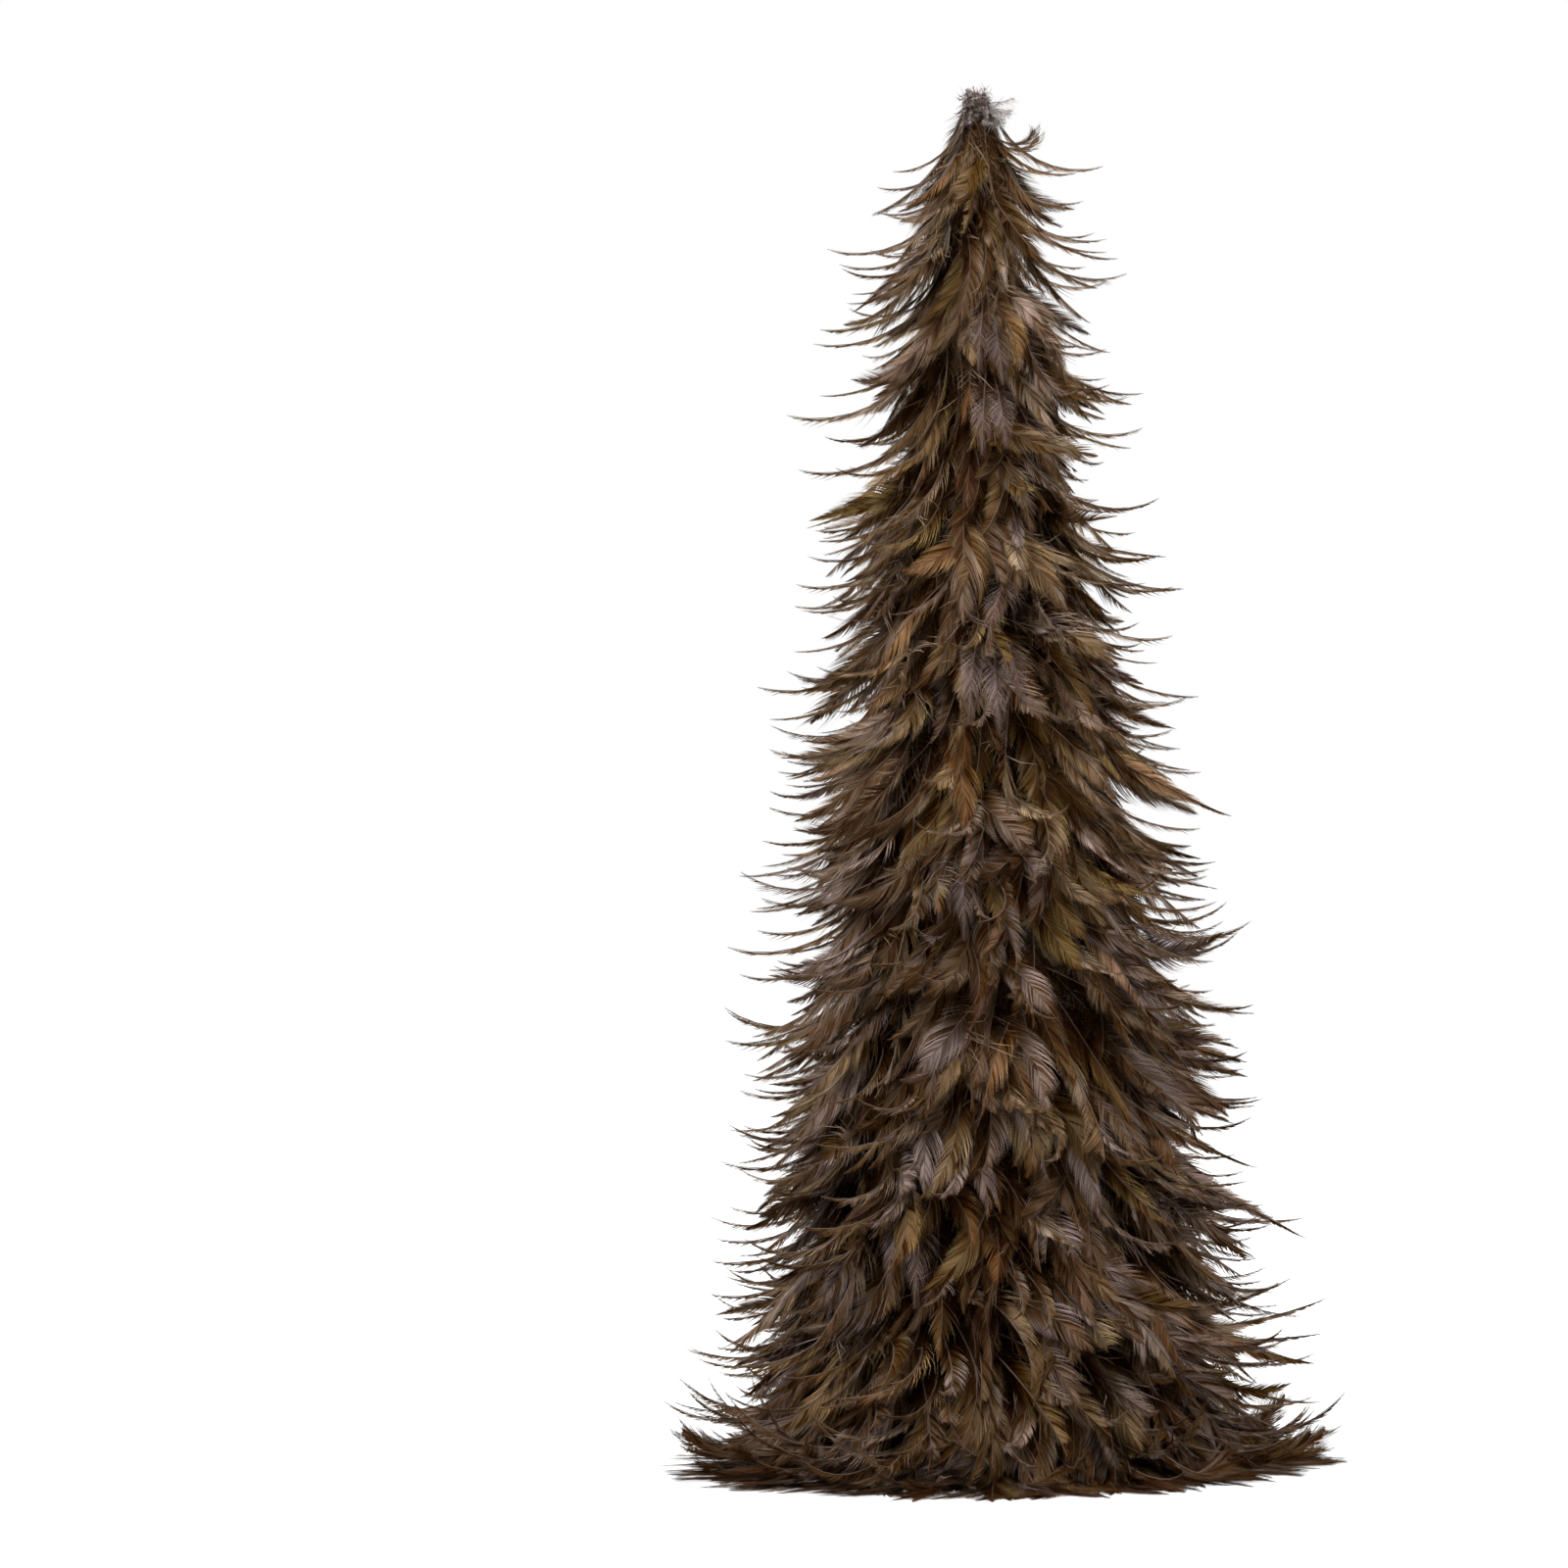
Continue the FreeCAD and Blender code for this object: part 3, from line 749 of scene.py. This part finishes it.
# Long sabres that stand clear of the coat on both sides. Each is glued to the cone among its row, at the
# height and the slope that carry its tip to where the photograph shows it.
LEFT_TIP_PIXELS = (
    (890, 190), (892, 216), (837, 252), (850, 268), (864, 300), (830, 336), (823, 350), (830, 404),
    (795, 422), (855, 448), (808, 478), (834, 524), (826, 541), (818, 566), (806, 595), (812, 622),
    (804, 665), (812, 700), (778, 734), (778, 762), (796, 800), (804, 842), (746, 894), (770, 914),
    (758, 930), (766, 948), (734, 964), (790, 972), (732, 1060), (748, 1110), (752, 1146), (728, 1182),
    (736, 1228), (722, 1262), (716, 1284), (738, 1296), (714, 1318), (726, 1344), (720, 1372),
)
RIGHT_TIP_PIXELS = (
    (1084, 170), (1110, 204), (1122, 236), (1135, 243), (1135, 257), (1112, 272), (1134, 285), (1101, 326),
    (1133, 354), (1133, 385), (1156, 404), (1172, 434), (1142, 520), (1163, 543), (1190, 565), (1204, 597),
    (1203, 647), (1186, 676), (1217, 709), (1202, 742), (1196, 788), (1240, 885), (1222, 933), (1270, 944),
    (1243, 1010), (1248, 1046), (1276, 1090), (1278, 1192), (1298, 1228), (1286, 1258), (1292, 1282),
    (1297, 1304), (1306, 1338), (1300, 1372), (1320, 1416), (1357, 1430),
)


def seen_place(pixel):
    """The x and z of a point of the photograph, in the upright plane through the tree's axis."""
    right = (pixel[0] - FRAME_PIXELS / 2) * metres_per_pixel
    up = (FRAME_PIXELS / 2 - pixel[1]) * metres_per_pixel
    roll = camera.rotation_euler[1]
    return (camera.location.x + right * math.cos(roll) + up * math.sin(roll),
            camera.location.z - right * math.sin(roll) + up * math.cos(roll))


def feather_setting(root, azimuth, droop):
    """The place and turn of a feather that leaves its root this way round and this steeply."""
    return Matrix.Translation(root) @ Matrix.Rotation(azimuth, 4, "Z") @ Matrix.Rotation(droop, 4, "Y")


def spanning(outwards, upwards, local_tip):
    """The droop and length with which a feather ends this far out of and above its root."""
    droop = math.atan2(local_tip.z, local_tip.x) - math.atan2(upwards, outwards)
    return droop, math.hypot(outwards, upwards) / math.hypot(local_tip.x, local_tip.z)


def join_feathers(name, settings, finish):
    """One mesh of single feathers, each given as mesh, place and turn, length, tone and hue."""
    verts, faces, vane, spots = [], [], [], []
    values = {"feather_tone": [], "feather_hue": [], "barb_shade": [], "downiness": []}
    grid = bake_grid(len(settings))
    for number, (source, setting, length, tone, hue) in enumerate(settings):
        first = len(verts)
        verts += [setting @ (vert.co * length) for vert in source.vertices]
        faces += [tuple(first + index for index in face.vertices) for face in source.polygons]
        for attribute in ("barb_shade", "downiness"):
            values[attribute] += [point.value for point in source.attributes[attribute].data]
        for loop in source.uv_layers["vane"].data:
            vane.append(tuple(loop.uv))
            spots.append(((number % grid + CELL_INSET[0] + CELL_FILL[0] * loop.uv[0]) / grid,
                          (number // grid + CELL_INSET[1] + CELL_FILL[1] * loop.uv[1]) / grid))
        values["feather_tone"] += [tone] * len(source.vertices)
        values["feather_hue"] += [hue] * len(source.vertices)
    piece = mesh_object(name, verts, faces, {"vane": vane, "OFBake": spots}, values)
    piece.data.materials.append(finish)
    bpy.context.collection.objects.link(piece)
    return piece


# A sabre's root lies above its tip by this share of the way out, and its barbs end a little past its shaft.
STRAY_DROP = 0.5
BARBS_END = 1.04
stray_dice = random.Random(41)
stray_kinds = []
for kind in range(6):
    spine = {"turn": math.radians(56 + 8 * kind), "turn_power": 1.15, "sway": 0.0, "twist": 0.0}
    stray = make_feather(
        f"stray_kind_{kind}", seed=700 + kind, half_width=(0.055, 0.08)[kind % 2], widest=0.25,
        fullness=0.95, fold=(6, 64), looseness=0.7, down=0.2, wisp=(0.3, 1.0)[kind % 2], barbs=64, **spine)
    stray_kinds.append((stray, frame_at(spine_frames(**spine), BARBS_END)[0]))
strays = []
for outward, pixels in ((-1, LEFT_TIP_PIXELS), (1, RIGHT_TIP_PIXELS)):
    for pixel in pixels:
        tip_x, tip_z = seen_place(pixel)
        stray, local_tip = stray_dice.choice(stray_kinds)
        root_z = (tip_z + STRAY_DROP * (abs(tip_x) - foot_radius)) / (1 - STRAY_DROP * cone_taper)
        root_radius = foot_radius - cone_taper * root_z
        droop, length = spanning(abs(tip_x) - root_radius, tip_z - root_z, local_tip)
        azimuth = 0 if outward > 0 else math.pi
        setting = feather_setting((outward * root_radius, 0, root_z), azimuth, droop)
        tone = stray_dice.uniform(0.2, 0.8)
        hue = stray_dice.uniform(0.1, 0.88)
        strays.append((stray.data, setting, length, tone, hue))
piece = join_feathers("stray_sabres", strays, hackle)
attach(piece, "root")
for stray, _ in stray_kinds:
    bpy.data.objects.remove(stray)


# Feathers of the front that differ from their neighbours in hue: mauve and grey ones with much down, rust
# and tan ones, and a few that are nearly black. Each is glued among its row and lies over the coat.
ACCENT_CLEARANCE = 0.041
TAN = 0.76
GREY_BROWN = 0.88
RUST = 0.915
MAUVE = 0.965
BLACK = 1.0
# The pixels of the photograph at which each starts and ends, its kind, its tone and its hue.
ACCENT_FEATHERS = (
    ((1000, 628), (988, 742), "downy", 0.4, MAUVE),
    ((1012, 640), (1020, 756), "downy", 0.5, MAUVE),
    ((1020, 634), (1044, 722), "downy", 0.3, MAUVE),
    ((974, 846), (956, 948), "downy", 0.3, MAUVE),
    ((984, 850), (984, 966), "downy", 0.45, MAUVE),
    ((930, 1212), (902, 1320), "downy", 0.4, MAUVE),
    ((946, 1210), (932, 1342), "downy", 0.5, MAUVE),
    ((1080, 1130), (1128, 1262), "broad", 0.4, MAUVE),
    ((968, 590), (886, 706), "broad", 0.45, RUST),
    ((1010, 650), (1116, 738), "sabre", 0.7, TAN),
    ((1040, 560), (1004, 668), "downy", 0.4, GREY_BROWN),
    ((968, 735), (992, 872), "broad", 0.2, RUST),
    ((1040, 1020), (1000, 1146), "broad", 0.4, RUST),
    ((930, 950), (862, 1056), "broad", 0.3, BLACK),
    ((1160, 960), (1204, 1056), "sabre", 0.3, BLACK),
    ((1036, 1080), (1054, 1190), "broad", 0.45, TAN),
    ((1130, 1270), (1212, 1412), "broad", 0.3, RUST),
    ((900, 1220), (822, 1312), "sabre", 0.5, RUST),
    ((1148, 1110), (1204, 1206), "broad", 0.4, RUST),
    ((1006, 288), (998, 384), "downy", 0.15, MAUVE),
    ((1010, 306), (1024, 398), "downy", 0.25, MAUVE),
    ((1006, 376), (1002, 470), "downy", 0.2, MAUVE),
    ((1014, 382), (1028, 462), "downy", 0.3, MAUVE),
)
ACCENT_SHAPES = {
    "downy": {
        "half_width": 0.10, "widest": 0.45, "fullness": 1.0, "turn": math.radians(-24), "fold": (5, 55),
        "looseness": 1.7, "down": 0.6, "wisp": 0.5, "barbs": 110,
    },
    "broad": {
        "half_width": 0.11, "widest": 0.34, "fullness": 1.0, "turn": math.radians(-26), "fold": (12, 58),
        "looseness": 1.2, "down": 0.2, "wisp": 0.2, "barbs": 90,
    },
    "sabre": {
        "half_width": 0.075, "widest": 0.25, "fullness": 0.95, "turn": math.radians(64), "fold": (6, 60),
        "looseness": 0.7, "down": 0.15, "wisp": 0.3, "barbs": 70,
    },
}
ACCENT_TURN_POWER = 1.4


def coat_place(pixel, clearance):
    """The point of the coat's front that the photograph shows at a pixel, this far off the cone."""
    x, z = seen_place(pixel)
    in_plane = Vector((x, 0, z))
    place = in_plane
    for _ in range(4):
        radius = foot_radius - cone_taper * place.z + clearance
        y = -math.sqrt(max(radius ** 2 - place.x ** 2, 0.0001))
        nearer = (CAMERA_DISTANCE + y) / CAMERA_DISTANCE
        place = camera.location + (in_plane - camera.location) * nearer
    return place


accent_kinds = {}
for number, (name, shape) in enumerate(ACCENT_SHAPES.items()):
    kind = make_feather(
        f"accent_{name}", seed=760 + number, turn_power=ACCENT_TURN_POWER, sway=0.0, twist=0.0, **shape)
    local_tip = frame_at(spine_frames(shape["turn"], ACCENT_TURN_POWER, 0.0, 0.0), BARBS_END)[0]
    accent_kinds[name] = kind, local_tip
accents = []
for root_pixel, tip_pixel, name, tone, hue in ACCENT_FEATHERS:
    kind, local_tip = accent_kinds[name]
    root = coat_place(root_pixel, 0.0)
    step = coat_place(tip_pixel, ACCENT_CLEARANCE) - root
    droop, length = spanning(math.hypot(step.x, step.y), step.z, local_tip)
    setting = feather_setting(root, math.atan2(step.y, step.x), droop)
    accents.append((kind.data, setting, length, tone, hue))
piece = join_feathers("accent_feathers", accents, hackle)
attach(piece, "root")
for kind, _ in accent_kinds.values():
    bpy.data.objects.remove(kind)

# The top feathers: hackles that stand in a ring round the plug's peg, where turns of thread tie their
# quills. They hang steeply all round and cover the tip of the cone.
piece = plant_feathers("apex_hackles", {
    "Count": 40,
    "Root Radius": 0.0042,
    "Root Height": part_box("apex_binding")[0][2] + 0.005,
    "Height Spread": 0.006,
    "Length": 0.067,
    "Steepest": 86,
    "Shallowest": 72,
    "Lift Power": 1.7,
    "Lean": 14,
    "Highest Kind": LAST_KIND,
    "Seed": 93,
    "Feathers": feather_kinds,
})
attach(piece, "root")
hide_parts("apex_feathers")

# The crown: the cut ends of the top quills, which stand round the peg above the thread, in a fluff of
# mauve-grey down.
DARK_DOWN = (0.035, 0.025, 0.018, 1)
LIGHT_DOWN = (0.60, 0.52, 0.50, 1)
DOWN_LETS_THROUGH = 0.4
TUFT_HAIRS = 14
TUFT_SPREAD = 0.45
HAIR_STEPS = 5
HAIR_CURL = 2.2
HAIR_HALF_WIDTH = 0.045
HAIR_TAPER = 0.85
QUILL_SIDES = 6
QUILL_RINGS = ((0.0, 0.035), (0.6, 0.034), (1.0, 0.036), (0.9, 0.02))
QUILL_SHADE = 0.6


def down_material():
    """Loose down: mauve-grey hairs, each feather's tuft and each hair with its own tone."""
    material, tree, shader = new_material("down")
    maths, *_, span, read = node_makers(tree)
    place = add_node(tree, "ShaderNodeTexCoord").outputs["Object"]
    clump = add_node(tree, "ShaderNodeTexNoise", Vector=place, Scale=380.0, Detail=1.0).outputs["Fac"]
    shade = maths("MULTIPLY_ADD", read("feather_tone"), 0.6, span(clump, 0.35, 0.65, -0.8, 0.3))
    shade = maths("MULTIPLY_ADD", read("barb_shade"), 0.7, shade)
    ramp = add_node(tree, "ShaderNodeValToRGB", Fac=shade)
    ramp.color_ramp.elements[0].color = DARK_DOWN
    ramp.color_ramp.elements[1].color = LIGHT_DOWN
    tree.links.new(ramp.outputs["Color"], shader.inputs["Base Color"])
    shader.inputs["Roughness"].default_value = 0.8
    shader.inputs["Specular IOR Level"].default_value = 0.2
    let_light_through(tree, shader, ramp.outputs["Color"], DOWN_LETS_THROUGH)
    return material


def make_tuft(name, seed):
    """A tuft of soft down, one unit long: curling hairs that fan out from one point."""
    dice = random.Random(seed)
    verts, faces, vane = [], [], []
    for hair in range(TUFT_HAIRS):
        heading = dice.gauss(0, TUFT_SPREAD)
        pitch = dice.gauss(0, TUFT_SPREAD)
        curl = dice.uniform(-HAIR_CURL, HAIR_CURL)
        bow = dice.uniform(-HAIR_CURL, HAIR_CURL)
        length = dice.uniform(0.5, 1.0)
        place = Vector((0, 0, 0))
        for step in range(HAIR_STEPS + 1):
            share = step / HAIR_STEPS
            level = math.cos(pitch)
            course = Vector((math.cos(heading) * level, math.sin(heading) * level, math.sin(pitch)))
            side = course.cross(Vector((0.3, 0.4, 1))).normalized()
            side = side * HAIR_HALF_WIDTH * (1 - HAIR_TAPER * share)
            verts += [place - side, place + side]
            vane += [(share, (hair + 0.2) / TUFT_HAIRS), (share, (hair + 0.8) / TUFT_HAIRS)]
            if step:
                last = len(verts) - 2
                faces.append((last - 2, last - 1, last + 1, last))
            place = place + course * length / HAIR_STEPS
            heading += curl / HAIR_STEPS
            pitch += bow / HAIR_STEPS
    return finish_plume(name, verts, faces, vane, [dice.random() for _ in verts], [1.0] * len(verts))


def make_quill_end(name, tilt):
    """A cut quill, one unit long: a six-sided tube with a hollow end."""
    verts, faces, vane = [], [], []
    for height, radius in QUILL_RINGS:
        for side in range(QUILL_SIDES):
            angle = math.tau * side / QUILL_SIDES
            raised = math.sin(angle) * radius + tilt * height ** 2
            verts.append(Vector((height, math.cos(angle) * radius, raised)))
            vane.append((0.2 + 0.1 * height, 0.4 + 0.2 * side / QUILL_SIDES))
    for ring in range(len(QUILL_RINGS) - 1):
        for side in range(QUILL_SIDES):
            near = ring * QUILL_SIDES + side
            far = ring * QUILL_SIDES + (side + 1) % QUILL_SIDES
            faces.append((near, far, far + QUILL_SIDES, near + QUILL_SIDES))
    faces.append(tuple(range(len(verts) - QUILL_SIDES, len(verts))))
    return finish_plume(name, verts, faces, vane, [QUILL_SHADE] * len(verts), [0.0] * len(verts))


down_kinds = bpy.data.collections.new("down_kinds")
for kind in range(5):
    down_kinds.objects.link(make_tuft(f"tuft_{kind}", 300 + kind))
quill_kinds = bpy.data.collections.new("quill_kinds")
for kind, tilt in enumerate((-0.05, 0.0, 0.06)):
    quill_kinds.objects.link(make_quill_end(f"quill_end_{kind}", tilt))
down = down_material()
crown_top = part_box("apex_feathers")[1][2]
crown_parts = {
    "crown_quills": {
        "Count": 18,
        "Root Radius": 0.0036,
        "Root Height": crown_top - 0.0100,
        "Height Spread": 0.0008,
        "Length": 0.009,
        "Steepest": -93,
        "Shallowest": -84,
        "Highest Kind": 2,
        "Feathers": quill_kinds,
    },
    "crown_down": {
        "Count": 200,
        "Root Radius": 0.0034,
        "Root Height": crown_top - 0.0125,
        "Height Spread": 0.0095,
        "Length": 0.0052,
        "Longest": 0.6,
        "Steepest": 75,
        "Shallowest": -75,
        "Highest Kind": 4,
        "Feathers": down_kinds,
    },
}
for name, values in crown_parts.items():
    piece = plant_feathers(name, {"Lean": 20, "Seed": 500, "Finish": down, **values})
    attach(piece, "root")

# Downy feathers that were tied in with the top ones stand out of the crown to the right and hang over
# its front, and two small hackles beside them have curled right up.
PLUME_ROOT = (1000, 106)
FLUFF_ROOT = (1003, 114)
FRONT_ROOT = (995, 105)
CURL_ROOT = (1006, 127)
CROWN_ROOT_Y = -0.003
PLUME_HUE = 0.8
# Each plume's kind, the pixel where it starts, its azimuth and droop in degrees, its length and its tone.
CROWN_PLUMES = (
    (0, PLUME_ROOT, -18, 4, 0.017, 0.95),
    (1, PLUME_ROOT, -30, 24, 0.017, 0.85),
    (2, PLUME_ROOT, -10, 30, 0.015, 0.9),
    (2, PLUME_ROOT, -50, 42, 0.016, 0.6),
    (0, PLUME_ROOT, -20, 52, 0.017, 0.8),
    (2, PLUME_ROOT, -40, 60, 0.014, 0.45),
    (1, PLUME_ROOT, 196, 30, 0.011, 0.5),
    (0, FLUFF_ROOT, -30, -12, 0.010, 0.5),
    (1, FLUFF_ROOT, -16, 14, 0.013, 0.8),
    (2, FLUFF_ROOT, -42, 38, 0.013, 0.4),
    (0, FLUFF_ROOT, -26, 64, 0.012, 0.3),
    (1, FLUFF_ROOT, -70, 50, 0.010, 0.6),
    (1, FRONT_ROOT, -112, 58, 0.014, 0.35),
    (2, FRONT_ROOT, -78, 66, 0.014, 0.45),
    (0, FRONT_ROOT, -136, 62, 0.014, 0.3),
    (0, FRONT_ROOT, -94, 52, 0.011, 0.5),
)


def crown_feather(kind, root_pixel, azimuth, droop, length, tone, hue):
    """What join_feathers needs for a feather that leaves the crown at a point of the photograph."""
    root_x, root_z = seen_place(root_pixel)
    setting = feather_setting((root_x, CROWN_ROOT_Y, root_z), math.radians(azimuth), math.radians(droop))
    return kind.data, setting, length, tone, hue


plume_kinds = [
    make_feather(f"plume_{kind}", seed=820 + kind, half_width=0.42, widest=0.35, fullness=0.9,
                 turn=math.radians(20), turn_power=1.2, sway=math.radians(25 * (kind - 1)), twist=0.4 * kind,
                 fold=(5, 25), looseness=1.4, down=1.6, wisp=0.0, barbs=48)
    for kind in range(3)
]
curl_kind = make_feather(
    "curl_kind", seed=830, half_width=0.26, widest=0.6, fullness=0.8, turn=math.radians(135),
    turn_power=1.4, sway=0.0, twist=0.9, fold=(5, 20), looseness=1.2, down=0.2, wisp=0.2, barbs=70)
crown_plumes = [
    crown_feather(plume_kinds[kind], root, azimuth, droop, length, tone, PLUME_HUE)
    for kind, root, azimuth, droop, length, tone in CROWN_PLUMES
]
crown_curls = [
    crown_feather(curl_kind, CURL_ROOT, azimuth=-8, droop=68, length=0.031, tone=0.6, hue=0.3),
    crown_feather(curl_kind, CURL_ROOT, azimuth=4, droop=60, length=0.028, tone=0.5, hue=0.1),
]
for name, feathers, finish in (("crown_plumes", crown_plumes, down), ("crown_curls", crown_curls, hackle)):
    piece = join_feathers(name, feathers, finish)
    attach(piece, "root")

for kind in (*plume_kinds, curl_kind):
    bpy.data.objects.remove(kind)
for kinds in (feather_kinds, skirt_kinds, down_kinds, quill_kinds):
    for kind in list(kinds.objects):
        bpy.data.objects.remove(kind)
    bpy.data.collections.remove(kinds)
bpy.data.node_groups.remove(row_tree)


# The sweep of white paper that the tree stands on. It throws back the light of a mid-grey sheet, and
# only the camera sees it glow white, a little less so near the tree.
FLOOR_HALF = 6.0
FLOOR_GAP = 0.0002
PAPER_GREY = (0.42, 0.42, 0.42, 1)
floor_mesh = bpy.data.meshes.new("floor")
floor_corners = ((-FLOOR_HALF, -FLOOR_HALF), (FLOOR_HALF, -FLOOR_HALF), (FLOOR_HALF, FLOOR_HALF),
                 (-FLOOR_HALF, FLOOR_HALF))
floor_mesh.from_pydata([(x, y, -FLOOR_GAP) for x, y in floor_corners], [], [(0, 1, 2, 3)])
floor = bpy.data.objects.new("floor", floor_mesh)
bpy.context.collection.objects.link(floor)
white_paper, paper_tree, paper = new_material("white_paper")
paper.inputs["Base Color"].default_value = PAPER_GREY
paper.inputs["Roughness"].default_value = 1.0
paper.inputs["Specular IOR Level"].default_value = 0.0
paper.inputs["Emission Color"].default_value = (1, 1, 1, 1)
seen = add_node(paper_tree, "ShaderNodeLightPath").outputs["Is Camera Ray"]
spot = add_node(paper_tree, "ShaderNodeTexCoord").outputs["Object"]
away = add_node(paper_tree, "ShaderNodeVectorMath", {"operation": "LENGTH"}, _0=spot).outputs[1]
lift = add_node(paper_tree, "ShaderNodeMapRange", _0=away, _1=0.2, _2=0.8, _3=0.78, _4=1.0).outputs[0]
glow = add_node(paper_tree, "ShaderNodeMath", {"operation": "MULTIPLY"}, _0=seen, _1=lift).outputs[0]
paper_tree.links.new(glow, paper.inputs["Emission Strength"])
floor_mesh.materials.append(white_paper)

# Soft studio light from both sides, from above and from behind, in a room whose own light is faint and
# which the camera sees as white.
ROOM_LIGHT = 0.14
ROOM_SEEN = 1.0
world = bpy.data.worlds.new("studio")
bpy.context.scene.world = world
world.use_nodes = True
world_tree = world.node_tree
background = world_tree.nodes["Background"]
background.inputs["Color"].default_value = (1, 1, 1, 1)
path = add_node(world_tree, "ShaderNodeLightPath")
strength = add_node(world_tree, "ShaderNodeMix", {"data_type": "FLOAT"}, _0=path.outputs["Is Camera Ray"],
                    _2=ROOM_LIGHT, _3=ROOM_SEEN)
world_tree.links.new(strength.outputs[0], background.inputs["Strength"])

SOFTBOX_AIM = Vector((0, 0, 0.3))
# The place, size and power of each.
SOFTBOXES = {
    "left_softbox": ((-1.7, -1.0, 1.7), 0.9, 48),
    "right_softbox": ((1.8, -0.8, 1.5), 0.9, 46),
    "top_softbox": ((-0.3, -1.5, 2.3), 0.8, 40),
    "back_left_softbox": ((-1.5, 1.5, 1.5), 0.9, 38),
    "back_right_softbox": ((1.5, 1.5, 1.7), 0.9, 38),
}
for name, (place, size, power) in SOFTBOXES.items():
    lamp = bpy.data.lights.new(name, "AREA")
    lamp.shape = "SQUARE"
    lamp.size = size
    lamp.energy = power
    softbox = bpy.data.objects.new(name, lamp)
    softbox.location = place
    softbox.rotation_euler = (SOFTBOX_AIM - Vector(place)).to_track_quat("-Z", "Y").to_euler()
    bpy.context.collection.objects.link(softbox)

bpy.context.scene.view_settings.view_transform = "Standard"
